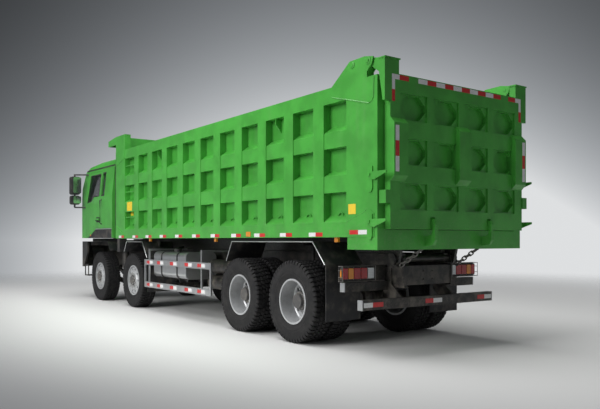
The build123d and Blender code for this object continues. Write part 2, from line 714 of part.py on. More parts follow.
def make_bed_rear_frame():
    with BuildPart() as rear:
        # Sill across the rear and the two lower side boxes
        block(bed_rear, bed_rear + sill_depth, -inner_y, inner_y, rear_box_bottom, gate_bottom - move_gap)
        for side in (1, -1):
            block(bed_rear, bed_rear + rear_box_length, side * inner_y, side * bed_half,
                  rear_box_bottom, skirt_bottom)
        # C-shaped hooks over the tailgate's lower beam
        for y in hook_ys:
            outer = gate_face - 56
            hook = [
                (bed_rear, rear_box_bottom + 40), (bed_rear, rear_box_bottom + 150),
                (gate_face + 8, rear_box_bottom + 170), (gate_face - 16, rear_box_bottom + 210),
                (gate_face - 16, rear_box_bottom + 290), (gate_face + 40, rear_box_bottom + 300),
                (gate_face + 40, rear_box_bottom + 340), (gate_face - 30, rear_box_bottom + 350),
                (outer, rear_box_bottom + 300), (outer, rear_box_bottom + 110),
                (gate_face - 20, rear_box_bottom + 50),
            ]
            prism_y(hook, y - hook_width / 2, y + hook_width / 2)
        # Corner latches: a hanging plate on each rear panel, a pin, and an arm past the tailgate's end
        for side in (1, -1):
            for z, low, high, stand_off in latches:
                y = bed_half + stand_off
                x = latch_pin_x
                plate = [(x - 36, high), (x + 46, high), (x + 46, low + 40), (x + 26, low), (x - 16, low),
                         (x - 36, low + 40)]
                prism_y(plate, side * y, side * (y + latch_plate))
                arm = [(x + 30, z + 28), (gate_face - 62, z + 28), (gate_face - 62, z + 2), (x - 70, z - 64),
                       (x + 30, z - 30)]
                prism_y(arm, side * (y + latch_plate), side * (y + latch_plate + latch_arm))
                rod_y(x, z, 20, side * (y + latch_plate), side * (y + latch_plate + latch_arm + 12))
    save(rear, "bed_rear_frame")


# Tailgate: slab with pockets in rows and columns, three pads, slots for the hooks
def make_tailgate():
    with BuildPart() as gate:
        block(gate_face, gate_front, -gate_width / 2, gate_width / 2, gate_bottom, gate_top)
        middle_y = (gate_columns - 1) / 2
        for row in range(gate_rows):
            z = cell_low_z + row * cell_pitch_z
            for column in range(gate_columns):
                y = (column - middle_y) * cell_pitch_y
                block(gate_face, gate_face + pocket_depth, y - cell_width / 2, y + cell_width / 2,
                      z - cell_height / 2, z + cell_height / 2, mode=Mode.SUBTRACT)
                half_y = cell_width / 2 - 14
                half_z = cell_height / 2 - 14
                cut = 100.0
                octagon = [
                    (y - half_y, z - half_z + cut), (y - half_y, z + half_z - cut), (y - half_y + cut, z + half_z),
                    (y + half_y - cut, z + half_z), (y + half_y, z + half_z - cut), (y + half_y, z - half_z + cut),
                    (y + half_y - cut, z - half_z), (y - half_y + cut, z - half_z),
                ]
                prism_x(octagon, gate_face, gate_face + deep_depth, mode=Mode.SUBTRACT)
        for y in (-gate_width / 2 + pad_width / 2, 0, gate_width / 2 - pad_width / 2):
            with BuildSketch(Plane(origin=(gate_front - 16, y, (pad_bottom + pad_top) / 2),
                                   x_dir=(0, 1, 0), z_dir=(-1, 0, 0))):
                Rectangle(pad_width, pad_top - pad_bottom)
            extrude(amount=gate_thickness - 16 + pad_depth)
            prism_y([(gate_face - pad_depth - 1, pad_top + 1), (gate_face - pad_depth - 1, pad_top - 62),
                     (gate_face - 1, pad_top + 1)], y - pad_width, y + pad_width, mode=Mode.SUBTRACT)
            prism_y([(gate_face - pad_depth - 1, pad_bottom - 1), (gate_face - pad_depth - 1, pad_bottom + 62),
                     (gate_face - 1, pad_bottom - 1)], y - pad_width, y + pad_width, mode=Mode.SUBTRACT)
        for y in hook_ys:
            block(gate_face - 1, gate_front + 1, y - hook_slot / 2, y + hook_slot / 2, gate_bottom - 1,
                  rear_box_bottom + 372, mode=Mode.SUBTRACT)
        for side in (1, -1):
            y0 = post_y - gate_post_width / 2
            y1 = post_y + gate_post_width / 2
            block(gate_face, gate_front, side * y0, side * y1, gate_top - 5, post_top)
            # Side strip down the tailgate's edge
            prism_y([(gate_face, gate_top), (gate_front, gate_top), (gate_front - 58, gate_top - 310),
                     (gate_face, gate_top - 310)], side * (gate_width / 2 - 5), side * y1)
            block(gate_face - 12, gate_front + 8, side * (y0 - 12), side * (y1 + 6), post_top, post_top + 14)
            # Lug on the tailgate's end, between the latches
            block(gate_face - 15, gate_front, side * (gate_width / 2 - 5), side * y1, 1755, 1899)
            # Arm that swings on the pin, between the two bracket plates
            arm_y0 = bracket_ys[0] + bracket_plate + move_gap
            arm_y1 = bracket_ys[1] - move_gap
            prism_y(
                [(gate_front - 4, bed_top + 22), (gate_front - 4, post_top), (gate_pin_x, gate_pin_height + 45),
                 (gate_pin_x + 40, gate_pin_height), (gate_pin_x, gate_pin_height - 45)],
                side * arm_y0, side * arm_y1,
            )
            rod_y(gate_pin_x, gate_pin_height, 48, side * arm_y0, side * arm_y1)
            rod_y(gate_pin_x, gate_pin_height, gate_pin_radius + pin_gap, side * (arm_y0 - 5),
                  side * (arm_y1 + 5), mode=Mode.SUBTRACT)
    save(gate, "tailgate")


# Chains from the rear sill forward to the frame: six-sided links, each turned by a quarter
link_length = 96.0
link_width = 64.0
link_wire = 18.0
chain_y = 505.0
chain_links = 6


def make_chains():
    with BuildPart() as chains:
        start = (bed_rear + sill_depth + 22, rear_box_bottom - 4)
        end = (bed_rear + 420, rear_box_bottom - 205)
        run = hypot(end[0] - start[0], end[1] - start[1])
        ux = (end[0] - start[0]) / run
        uz = (end[1] - start[1]) / run
        pitch = link_length - 2 * link_wire + 4
        for side in (1, -1):
            block(bed_rear + sill_depth, start[0] + 24, side * (chain_y - 8), side * (chain_y + 8),
                  start[1] - 26, rear_box_bottom + 60)
            for index in range(chain_links):
                s = link_length / 2 + index * pitch
                middle = (start[0] + ux * s, side * chain_y, start[1] + uz * s)
                if index % 2:
                    normal = (0, 1, 0)
                else:
                    normal = (-uz, 0, ux)
                with BuildSketch(Plane(origin=middle, x_dir=(ux, 0, uz), z_dir=normal)) as outline:
                    for inset, mode in ((0, Mode.ADD), (link_wire, Mode.SUBTRACT)):
                        end_x = link_length / 2 - inset
                        half_y = link_width / 2 - inset
                        bend_x = end_x - 20
                        with BuildLine() as line:
                            Polyline((end_x, 0), (bend_x, half_y), (-bend_x, half_y), (-end_x, 0),
                                     (-bend_x, -half_y), (bend_x, -half_y), close=True)
                        make_face(line.line, mode=mode)
                extrude(outline.sketch, amount=link_wire / 2, both=True)
    save(chains, "lift_chains")


# Hoist: a base tube on its trunnion pin and stages that slide out of each other
def make_hoist():
    length = hoist_closed - 150
    with BuildPart() as base:
        rod_z(hoist_x, 0, hoist_radius, hoist_base_height - 60, hoist_base_height + length - 60)
        rod_z(hoist_x, 0, hoist_radius - 8, hoist_base_height + 60, hoist_base_height + length, mode=Mode.SUBTRACT)
        rod_y(hoist_x, hoist_base_height, hoist_pin_radius, -hoist_plate_y - hoist_plate - 4,
              hoist_plate_y + hoist_plate + 4)
    save(base, "hoist_base")
    for stage in range(1, hoist_stages + 1):
        radius = hoist_radius - 8 - pin_gap - (stage - 1) * hoist_step
        low = hoist_base_height + 60 + stage * 12
        high = hoist_base_height + length - 60 + stage * 14
        with BuildPart() as tube:
            rod_z(hoist_x, 0, radius, low, high)
            if stage < hoist_stages:
                rod_z(hoist_x, 0, radius - hoist_step + pin_gap, low + 12, high + 1, mode=Mode.SUBTRACT)
            else:
                rod_z(hoist_x, 0, 34, high - 1, hoist_eye_z)
                rod_y(hoist_x, hoist_eye_z, 50, -60, 60)
        save(tube, "hoist_stage_" + str(stage))


# Chassis fittings
tank_length = 1354.0
tank_front = axle_4 + 4620.0
tank_outer = 1150.0
tank_inner = 560.0
tank_low = 665.0
tank_high = 1134.0


def make_fuel_tank():
    with BuildPart() as tank:
        x0 = tank_front - tank_length
        with BuildSketch(Plane(origin=(x0, (tank_outer + tank_inner) / 2, (tank_low + tank_high) / 2),
                               x_dir=(0, 1, 0), z_dir=(1, 0, 0))):
            RectangleRounded(tank_outer - tank_inner, tank_high - tank_low, 95)
        extrude(amount=tank_length)
    save(tank, "fuel_tank")


duct_bottom = 1100.0


def make_chassis_boxes():
    """Tank brackets, air tanks and canister on the left; battery box and silencer on the right."""
    with BuildPart() as boxes:
        for x in (tank_front - 300, tank_front - tank_length + 260):
            block(x - 30, x + 30, frame_half, tank_inner, 700, 1000)
        block(axle_3 + 2700, axle_3 + 3350, -1150, -520, 640, 1120)
        block(axle_3 + 2850, axle_3 + 3200, -520, -frame_half, 760, 1000)
        with BuildSketch(Plane(origin=(axle_3 + 1000, -820, 880), x_dir=(0, 1, 0), z_dir=(1, 0, 0))):
            RectangleRounded(620, 520, 120)
        extrude(amount=1300)
        block(axle_3 + 1300, axle_3 + 1900, -515, -frame_half, 800, 960)
        for z in (620, 900):
            rod_x(700, z, 118, axle_3 + 1000, axle_3 + 1750)
        block(axle_3 + 1300, axle_3 + 1400, frame_half, 640, 780, 1000)
        block(axle_3 + 1300, axle_3 + 1400, 560, 640, 560, 1000)
        # Canister under the air intake's duct
        rod_z(hoist_x, 1000, 70, 760, duct_bottom)
    save(boxes, "chassis_boxes")


guard_front = axle_4 + 4850.0
guard_rear = axle_4 + 2200.0
guard_y = 1245.0
guard_bars = ((880.0, 985.0), (460.0, 565.0))


def make_side_guards():
    with BuildPart() as guards:
        for side in (1, -1):
            for z0, z1 in guard_bars:
                block(guard_rear, guard_front, side * (guard_y - 28), side * guard_y, z0, z1)
            for x in (guard_rear, guard_front - 40):
                block(x, x + 40, side * (guard_y - 28), side * guard_y, 460, 985)
            for x in (guard_rear + 380, guard_front - 150):
                block(x - 16, x + 16, side * (guard_y - 52), side * (guard_y - 28), 480, 1185)
                block(x - 16, x + 16, side * frame_half, side * (guard_y - 28), 1150, 1185)
    save(guards, "side_guards")


def make_mudguards():
    with BuildPart() as guards:
        shapes = (
            # top z, outer y, bottom of the front leg (x, z), top front x, top rear x,
            # bottom of the rear leg (x, z), bottom of the flap that hangs from it
            (1318, 1215, axle_2 + 320, 1120, axle_2 + 190, axle_2 - 620, axle_2 - 850, 1010, 360),
            (1330, 1215, axle_3 + 400, 1030, axle_3 + 230, axle_4 - 440, axle_4 - 690, 1045, 340),
            (1318, 1180, axle_1 + 560, 1230, axle_1 + 480, axle_1 - 560, axle_1 - 700, 1120, 0),
        )
        for side in (1, -1):
            for top, outer_y, xf, zf, x1, x2, xr, zr, flap in shapes:
                plate = 6
                outline = [(xf, zf), (x1, top), (x2, top), (xr, zr), (xr + plate, zr), (x2 + plate, top - plate),
                           (x1 - plate, top - plate), (xf - plate, zf)]
                prism_y(outline, side * 600, side * outer_y)
                block((x1 + x2) / 2 - 25, (x1 + x2) / 2 + 25, side * (frame_half), side * 640, top - 60, top - plate)
                block((x1 + x2) / 2 - 25, (x1 + x2) / 2 + 25, side * frame_half, side * (frame_half + 30), 1000,
                      top - plate)
                if flap:
                    block(xr - 2, xr + 8, side * 640, side * (outer_y - 15), flap, zr + 1)
    save(guards, "mudguards")


bumper_depth = 70.0
bumper_side_back = nose - 620.0
tow_eye_y = 300.0
tow_eye_z = 860.0
tow_eye_radius = 21.0
lamp_window = ((640.0, 905.0), (905.0, 905.0), (965.0, 1150.0), (670.0, 1150.0))
lamp_bowls = (725.0, 868.0)
lower_slots = (960.0, 1010.0, 1060.0, 1110.0)


def make_bumper():
    with BuildPart() as bumper:
        outline = [
            (nose, -950), (nose, 950), (nose - 110, 1165), (nose - 260, 1235), (bumper_side_back, 1235),
            (bumper_side_back, 1195), (nose - 270, 1195), (nose - 150, 1130), (nose - bumper_depth, 930),
            (nose - bumper_depth, -930), (nose - 150, -1130), (nose - 270, -1195), (bumper_side_back, -1195),
            (bumper_side_back, -1235), (nose - 260, -1235), (nose - 110, -1165),
        ]
        prism_z(outline, bumper_bottom, bumper_top)
        # Sloped edges along its top and bottom, slots between the headlamps
        prism_y([(nose - 25, bumper_top), (nose, bumper_top - 30), (nose + 10, bumper_top - 30),
                 (nose + 10, bumper_top + 10), (nose - 25, bumper_top + 10)], -1300, 1300, mode=Mode.SUBTRACT)
        prism_y([(nose - 40, bumper_bottom), (nose, bumper_bottom + 70), (nose + 10, bumper_bottom + 70),
                 (nose + 10, bumper_bottom - 10), (nose - 40, bumper_bottom - 10)], -1300, 1300,
                mode=Mode.SUBTRACT)
        for z in lower_slots:
            block(nose - 45, nose + 1, -540, 540, z, z + 28, mode=Mode.SUBTRACT)
        # Cut the lower rear corner of each return away from the wheel
        for side in (1, -1):
            prism_y([(bumper_side_back - 1, bumper_bottom - 1), (bumper_side_back + 260, bumper_bottom - 1),
                     (bumper_side_back - 1, bumper_bottom + 330)], side * 1150, side * 1300, mode=Mode.SUBTRACT)
            prism_x([(side * y, z) for y, z in lamp_window], nose - 160, nose + 1, mode=Mode.SUBTRACT)
            # Step hanging below
            x0 = bumper_side_back
            x1 = bumper_side_back + 240
            block(x0, x1, side * 960, side * 1215, 520, 545)
            for x in (x0, x1 - 20):
                block(x, x + 20, side * 1195, side * 1215, 520, bumper_bottom + 60)
            block(x0, x1 + 60, side * 1195, side * 1215, bumper_bottom + 20, bumper_bottom + 60)
        block(frame_front, nose - bumper_depth, -frame_half, frame_half, bumper_bottom + 100, frame_top - 150)
        # Socket for a screwed towing eye
        rod_x(tow_eye_y, tow_eye_z, tow_eye_radius, nose + 1, nose - bumper_depth + 10, mode=Mode.SUBTRACT)
    save(bumper, "bumper")


bar_half = 1170.0


def make_rear_bars():
    with BuildPart() as bars:
        upper_x = axle_4 - 1010
        lower_x = axle_4 - 1330
        block(lower_x, lower_x + 80, -bar_half, bar_half, 530, 650)
        for side in (1, -1):
            block(upper_x, upper_x + 80, side * (frame_half + 14), side * bar_half, 725, 835)
            arm = [(upper_x + 80, 1000), (upper_x + 80, 700), (lower_x + 200, 530), (lower_x + 60, 530),
                   (lower_x + 60, 640), (upper_x - 60, 800), (upper_x - 60, 1000)]
            prism_y(arm, side * (frame_half + 14), side * (frame_half + 34))
            # Lamp carrier
            block(upper_x + 40, upper_x + 60, side * (frame_half + 30), side * 1215, 850, 1040)
            block(upper_x + 40, upper_x + 60, side * 700, side * 760, 800, 860)
    save(bars, "rear_bars")


rear_lenses = ((702.0, 800.0), (812.0, 910.0), (922.0, 1020.0), (1032.0, 1193.0))


def make_rear_lamps():
    with BuildPart() as lamps:
        x = axle_4 - 970
        for side in (1, -1):
            block(x - 38, x, side * 690, side * 1205, 865, 1025)
            for y0, y1 in rear_lenses:
                block(x - 50, x - 37, side * y0, side * y1, 878, 1012)
    save(lamps, "rear_lamps")


marker_xs = (-4430.0, -1431.0, 1118.0)


def make_marker_lamps():
    with BuildPart() as lamps:
        for side in (1, -1):
            for x in marker_xs:
                block(x - 32, x + 32, side * 1208, side * 1240, skirt_bottom - 58, skirt_bottom)
    save(lamps, "marker_lamps")


def make_headlamps():
    with BuildPart() as lamps:
        for side in (1, -1):
            prism_x([(side * y, z) for y, z in lamp_window], nose - bumper_depth - 30, nose - 12)
            for y in lamp_bowls:
                rod_x(side * y, 1030, 60, nose - 34, nose - 11, mode=Mode.SUBTRACT)
    save(lamps, "headlamps")


def make_intake():
    with BuildPart() as stack:
        x0 = bed_front + 50
        x1 = cab_rear - 50
        block(x0, x1, 980, 1190, 1560, 2960)
        block(x0 + 30, x1 - 30, 1010, 1160, 1180, 1560)
        block(x0 + 30, x1 - 30, frame_half, 1160, duct_bottom, 1180)
        block(x0 + 30, x1 - 30, frame_half, frame_half + 40, 900, 1180)
    save(stack, "intake_stack")


# Cab
def cab_form(inset):
    """Closed form of the cab, with every face moved in by the inset."""
    rear = cab_rear + inset
    front = cab_front - inset
    low = cab_bottom + inset
    high = cab_top - inset
    with BuildPart() as form:
        side_view = [
            (rear, low), (front, low), (front, cowl_z), (front - 380 - inset * 0.1, 2920),
            (front - 520, high - 115), (front - 1150, high), (rear + 300, high), (rear, high - 30),
        ]
        prism_y(side_view, -cab_half, cab_half)
        half = cab_half - inset
        roof = roof_half - inset
        end_view = [
            (-half, low), (half, low), (half, belt_z), (roof + 60, high - 210), (roof, high - 105),
            (roof - 110, high - 30), (roof - 300, high), (-(roof - 300), high), (-(roof - 110), high - 30),
            (-roof, high - 105), (-(roof + 60), high - 210), (-half, belt_z),
        ]
        prism_x(end_view, rear - 1, front + 1, mode=Mode.INTERSECT)
        # Front corners turned in, seen from above
        plan = [(rear - 1, half), (front - 260, half), (front - 70, half - cab_corner), (front, half - 300)]
        plan = plan + [(x, -y) for x, y in reversed(plan)]
        prism_z(plan, cab_bottom - 1, cab_top + 1, mode=Mode.INTERSECT)
    return form.part


door_rear = axle_4 + 7335.0
door_front = axle_4 + 8270.0
door_outline = (
    (door_rear, 1606.0), (door_rear, 2880.0), (door_front - 165, 2880.0), (door_front, 2190.0),
    (door_front, 1420.0), (door_front - 90, 1420.0), (door_front - 620, 1606.0),
)
door_window = (
    (door_rear + 75, 2330.0), (door_rear + 75, 2815.0), (door_front - 200, 2815.0), (door_front - 85, 2210.0),
    (door_front - 330, 2235.0), (door_front - 520, 2330.0),
)
quarter_window = (
    (door_rear - 240, 2330.0), (door_rear - 240, 2830.0), (door_rear - 60, 2830.0), (door_rear - 60, 2330.0),
)
arch_outline = (
    (cab_rear + 30, cab_bottom - 1), (cab_rear + 30, 1585.0), (door_front - 630, 1585.0),
    (door_front - 100, cab_bottom - 1),
)


def door_space(side, gap):
    """Room of a door: the wall's thickness below the belt, deeper above where the side leans in."""
    with BuildPart() as space:
        prism_y(door_outline, side * (cab_half - 200), side * (cab_half + 10), grow=gap)
        block(door_rear - 50, door_front + 50, side * (cab_half - 210), side * (cab_half - cab_wall),
              cab_bottom - 50, belt_z, mode=Mode.SUBTRACT)
    return space.part


grille_slots = 6


def make_grille():
    """Slotted panel on the cab's front."""
    block(cab_front, nose, -870, 870, 1490, 2095)
    for index in range(grille_slots):
        z = 1520 + index * 95
        block(cab_front, nose, -800, 800, z, z + 55, mode=Mode.SUBTRACT)


def make_cab():
    outer = cab_form(0)
    inner = cab_form(cab_wall)
    glass_outer = cab_form(16)
    glass_inner = cab_form(22)
    screen_view = [(-1010, 2170.0), (1010, 2170.0), (900, 2850.0), (-900, 2850.0)]
    rear_view = [(-600, 2350.0), (600, 2350.0), (600, 2800.0), (-600, 2800.0)]
    split = cab_front - 560
    openings = [door_space(side, door_gap) for side in (1, -1)]
    with BuildPart() as shell:
        add(outer)
        add(inner, mode=Mode.SUBTRACT)
        add(openings, mode=Mode.SUBTRACT)
        for side in (1, -1):
            prism_y(quarter_window, side * (cab_half - 200), side * (cab_half + 10), mode=Mode.SUBTRACT)
            prism_y(arch_outline, side * (cab_half - cab_wall), side * (cab_half + 10), mode=Mode.SUBTRACT)
            # Lug down to the tilt pin
            x = nose - cab_tilt_back
            prism_y(
                [(x - 200, cab_bottom), (x - 45, cab_tilt_height - 30), (x + 20, cab_tilt_height - 38),
                 (x + 38, cab_tilt_height), (x + 4, cab_tilt_height + 42), (x - 80, cab_bottom)],
                side * (frame_half + 2), side * (frame_half + 30),
            )
            rod_y(x, cab_tilt_height, tilt_pin_radius + pin_gap, side * (frame_half - 5),
                  side * (frame_half + 40), mode=Mode.SUBTRACT)
        prism_x(screen_view, split, cab_front + 10, mode=Mode.SUBTRACT)
        prism_x(rear_view, cab_rear - 10, cab_rear + cab_wall + 10, mode=Mode.SUBTRACT)
    save(shell, "cab_shell")
    with BuildPart() as windows:
        prism_x([(y * 0.9995, z) for y, z in screen_view], split, cab_front + 10)
        prism_x([(y * 0.9995, z) for y, z in rear_view], cab_rear - 10, cab_rear + cab_wall + 10)
        for side in (1, -1):
            prism_y(quarter_window, side * (cab_half - 200), side * (cab_half + 10), grow=-pin_gap)
    with BuildPart() as glass:
        add(glass_outer)
        add(glass_inner, mode=Mode.SUBTRACT)
        add(windows.part, mode=Mode.INTERSECT)
    save(glass, "cab_glass")
    with BuildPart() as trim:
        for side in (1, -1):
            prism_y(arch_outline, side * (cab_half - cab_wall), side * (cab_half - 3))
        make_grille()
    save(trim, "cab_trim")
    for name, side in (("left", 1), ("right", -1)):
        room = door_space(side, 0)
        with BuildPart() as door:
            add(outer)
            add(inner, mode=Mode.SUBTRACT)
            add(room, mode=Mode.INTERSECT)
            prism_y(door_window, side * (cab_half - 200), side * (cab_half + 10), mode=Mode.SUBTRACT)
            # Handle
            block(door_rear + 75, door_rear + 235, side * (cab_half - 1), side * (cab_half + 24), 1790, 1830)
        save(door, "door_" + name)
        with BuildPart() as pane:
            add(glass_outer)
            add(glass_inner, mode=Mode.SUBTRACT)
            prism_y(door_window, side * (cab_half - 200), side * (cab_half + 10), Mode.INTERSECT, -pin_gap)
        save(pane, "door_glass_" + name)


dash_top = cowl_z - 10


def make_cab_interior():
    with BuildPart() as inside:
        floor_z = cab_bottom + cab_wall
        for y in (620, -620):
            x = cab_rear + 720
            block(x - 170, x + 200, y - 200, y + 200, floor_z, floor_z + 330)
            prism_y([(x - 240, floor_z + 330), (x + 290, floor_z + 330), (x + 300, floor_z + 470),
                     (x - 240, floor_z + 440)], y - 255, y + 255)
            prism_y([(x - 240, floor_z + 430), (x - 110, floor_z + 430), (x - 210, floor_z + 1050),
                     (x - 320, floor_z + 1050)], y - 240, y + 240)
            prism_y([(x - 315, floor_z + 1040), (x - 215, floor_z + 1040), (x - 225, floor_z + 1210),
                     (x - 305, floor_z + 1210)], y - 130, y + 130)
        # Dashboard across the cab
        front = cab_front - cab_wall
        prism_y([(front - 90, floor_z), (front - 90, dash_top - 30), (front - 240, dash_top), (front - 520, 2010),
                 (front - 520, 1850), (front - 300, 1700), (front - 260, floor_z)], -1060, 1060)
        # Steering column and wheel
        with BuildSketch(Plane(origin=(front - 500, 620, 1960), x_dir=(0, 1, 0), z_dir=(-0.62, 0, 0.78))):
            Circle(28)
        extrude(amount=150)
        rim_plane = Plane(origin=(front - 593, 620, 2077), x_dir=(0, 1, 0), z_dir=(-0.62, 0, 0.78))
        with BuildSketch(rim_plane):
            Circle(225)
            Circle(196, mode=Mode.SUBTRACT)
            Rectangle(420, 40)
            Circle(60)
        extrude(amount=24)
    save(inside, "cab_interior")


mirror_x = nose - 380.0
mirror_low = cowl_z - 10
mirror_high = 2885.0


def mirror_housing(y, width, z0, z1):
    with BuildSketch(Plane(origin=(mirror_x - 60, y, (z0 + z1) / 2), x_dir=(0, 1, 0), z_dir=(1, 0, 0))) as outline:
        RectangleRounded(width, z1 - z0, 45)
    extrude(outline.sketch, amount=115)


def make_mirrors():
    with BuildPart() as mirrors:
        for side in (1, -1):
            y = side * 1455
            mirror_housing(y, 216, 2405, 2825)
            mirror_housing(y, 208, 2175, 2385)
            block(mirror_x - 16, mirror_x + 16, y - 16, y + 16, mirror_low, mirror_high)
            # Arms back to the windscreen pillar: height, x of the root, y of the root
            for z, root_x, root_y in ((mirror_high - 15, nose - 560, 1190), (mirror_low, nose - 500, cab_half)):
                prism_z([(mirror_x - 16, y), (mirror_x + 16, y), (root_x + 22, side * root_y),
                         (root_x - 22, side * root_y)], z - 16, z + 16)
    save(mirrors, "mirrors")


beacon_profile = (
    # radius, height above the roof
    (0, 0), (78, 0), (78, 22), (66, 26), (66, 105), (52, 135), (28, 149), (0, 150),
)


def make_beacons():
    with BuildPart() as beacons:
        for side in (1, -1):
            x = cab_rear + 950
            y = side * 520
            with BuildSketch(Plane(origin=(x, y, cab_top), x_dir=(1, 0, 0), z_dir=(0, -1, 0))) as section:
                with BuildLine():
                    Polyline(*beacon_profile, close=True)
                make_face()
            revolve(section.sketch, axis=Axis((x, y, cab_top), (0, 0, 1)))
    save(beacons, "beacons")


make_frame()
make_front_axles()
make_rear_axles()
make_driveline()
tyre_shape = tyre_form()
for tag, x in (("1", axle_1), ("2", axle_2)):
    for name, side in (("left", 1), ("right", -1)):
        make_knuckle("knuckle_" + tag + "_" + name, x, side)
        make_tyres("tyre_" + tag + "_" + name, x, (side * front_track / 2,))
        make_front_rim("rim_" + tag + "_" + name, x, side)
for tag, x in (("3", axle_3), ("4", axle_4)):
    for name, side in (("left", 1), ("right", -1)):
        outer_y = side * rear_outer_track / 2
        make_tyres("tyres_" + tag + "_" + name, x, (outer_y, outer_y - side * dual_spacing))
        make_rear_rim("rims_" + tag + "_" + name, x, side)
make_bed_floor()
make_bed_side("bed_side_left", 1)
make_bed_side("bed_side_right", -1)
make_headboard()
make_bed_rear_frame()
make_tailgate()
make_chains()
make_hoist()
make_fuel_tank()
make_chassis_boxes()
make_side_guards()
make_mudguards()
make_bumper()
make_rear_bars()
make_rear_lamps()
make_marker_lamps()
make_headlamps()
make_intake()
make_cab()
make_cab_interior()
make_mirrors()
make_beacons()
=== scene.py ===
"""Four-axle tipper truck: finishes, tyres, lamps, markings and fittings over the loaded frame."""
import json
from math import cos, pi, radians, sin

import bmesh
import bpy
from mathutils import Matrix, Vector


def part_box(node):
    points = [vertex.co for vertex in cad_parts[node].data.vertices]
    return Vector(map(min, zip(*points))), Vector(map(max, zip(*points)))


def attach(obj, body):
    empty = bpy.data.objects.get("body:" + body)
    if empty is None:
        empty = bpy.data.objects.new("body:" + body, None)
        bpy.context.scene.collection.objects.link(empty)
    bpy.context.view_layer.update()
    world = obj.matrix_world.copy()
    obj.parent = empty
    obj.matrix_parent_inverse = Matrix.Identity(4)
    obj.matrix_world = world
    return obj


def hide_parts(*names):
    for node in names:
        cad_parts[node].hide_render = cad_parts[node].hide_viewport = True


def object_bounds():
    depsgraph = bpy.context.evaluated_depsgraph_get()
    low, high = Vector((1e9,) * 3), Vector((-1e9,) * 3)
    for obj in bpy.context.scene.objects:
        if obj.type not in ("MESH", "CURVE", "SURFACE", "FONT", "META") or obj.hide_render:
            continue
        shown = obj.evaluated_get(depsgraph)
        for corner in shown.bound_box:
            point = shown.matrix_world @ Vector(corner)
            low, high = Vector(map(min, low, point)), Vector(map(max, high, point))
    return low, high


bl_info = {
    "name": "Tipper Truck Dressing",
    "version": (1, 0, 0),
    "blender": (4, 5, 0),
    "location": "3D View > Sidebar > Tipper",
    "description": "Dresses the frame of a four-axle tipper truck with its finishes and fittings",
    "category": "Object",
}

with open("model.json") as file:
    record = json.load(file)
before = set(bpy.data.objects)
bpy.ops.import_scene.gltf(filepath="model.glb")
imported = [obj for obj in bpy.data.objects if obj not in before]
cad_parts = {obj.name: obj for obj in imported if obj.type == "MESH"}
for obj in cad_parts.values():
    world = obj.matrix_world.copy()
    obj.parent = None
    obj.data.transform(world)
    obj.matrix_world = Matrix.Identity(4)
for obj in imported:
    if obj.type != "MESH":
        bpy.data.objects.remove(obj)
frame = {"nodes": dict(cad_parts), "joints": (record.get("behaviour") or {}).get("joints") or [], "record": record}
nodes = frame["nodes"]
cad_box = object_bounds()
joint_of = {joint["name"]: joint for joint in frame["joints"]}


def joint_place(name):
    """Where a joint of the frame sits."""
    return Vector(joint_of[name]["pos_m"])


SIDES = (("left", 1), ("right", -1))
E = 2.718                # base of the powers that grooves and the backdrop fade by


def wheel_rows():
    """Each wheel body's tyre node, rim node and side of the truck."""
    rows = {}
    for axle in (1, 2, 3, 4):
        twins = "s" if axle > 2 else ""
        for label, side in SIDES:
            end = f"{twins}_{axle}_{label}"
            rows["wheel" + end] = ("tyre" + end, "rim" + end, side)
    return rows


# Sizes and places, from the frame where it holds them
WHEELS = wheel_rows()
TYRE_WIDTH = 0.300
TYRE_RADIUS = 0.5425
TYRE_REACH = 0.5465      # from an axle to the end of its tyre node
side_low, side_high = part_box("bed_side_left")
BED_REAR = side_low.x
BED_FRONT = side_high.x
BED_HALF = 1.275         # half width over the bed's skirt
RECESS = 1.165           # half width over the panels between its posts
FIRST_POST = BED_REAR + 0.960
POST_PITCH = 0.646
POST_WIDTH = 0.210
POSTS = 10
PAD_PROUD = 0.062        # how far the pads stand off the tailgate's face
GATE_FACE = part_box("tailgate")[0].x + PAD_PROUD
AXLE_1 = joint_place("spin_1_left").x
AXLE_2 = joint_place("spin_2_left").x
AXLE_4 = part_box("tyres_4_left")[0].x + TYRE_REACH
AXLE_3 = AXLE_4 + 1.350
RAIL_FACE = 0.430        # half width where the chassis rails carry bolts
GUARD_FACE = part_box("side_guards")[1].y
GUARD_RAILS = (0.905, 0.485)    # heights of the lower bolts and tapes on the side guards' rails
NOSE = cad_box[1].x
cab_low, cab_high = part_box("cab_shell")
CAB_REAR = cab_low.x
CAB_HALF = cab_high.y
BELT = 2.300             # height where the cab's side starts to lean in
LEAN = 0.065 / 0.64      # how far it leans in, for each metre up
CAB_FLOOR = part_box("cab_interior")[0].z
DOOR_REAR = AXLE_4 + 7.335
DOOR_FRONT = AXLE_4 + 8.270


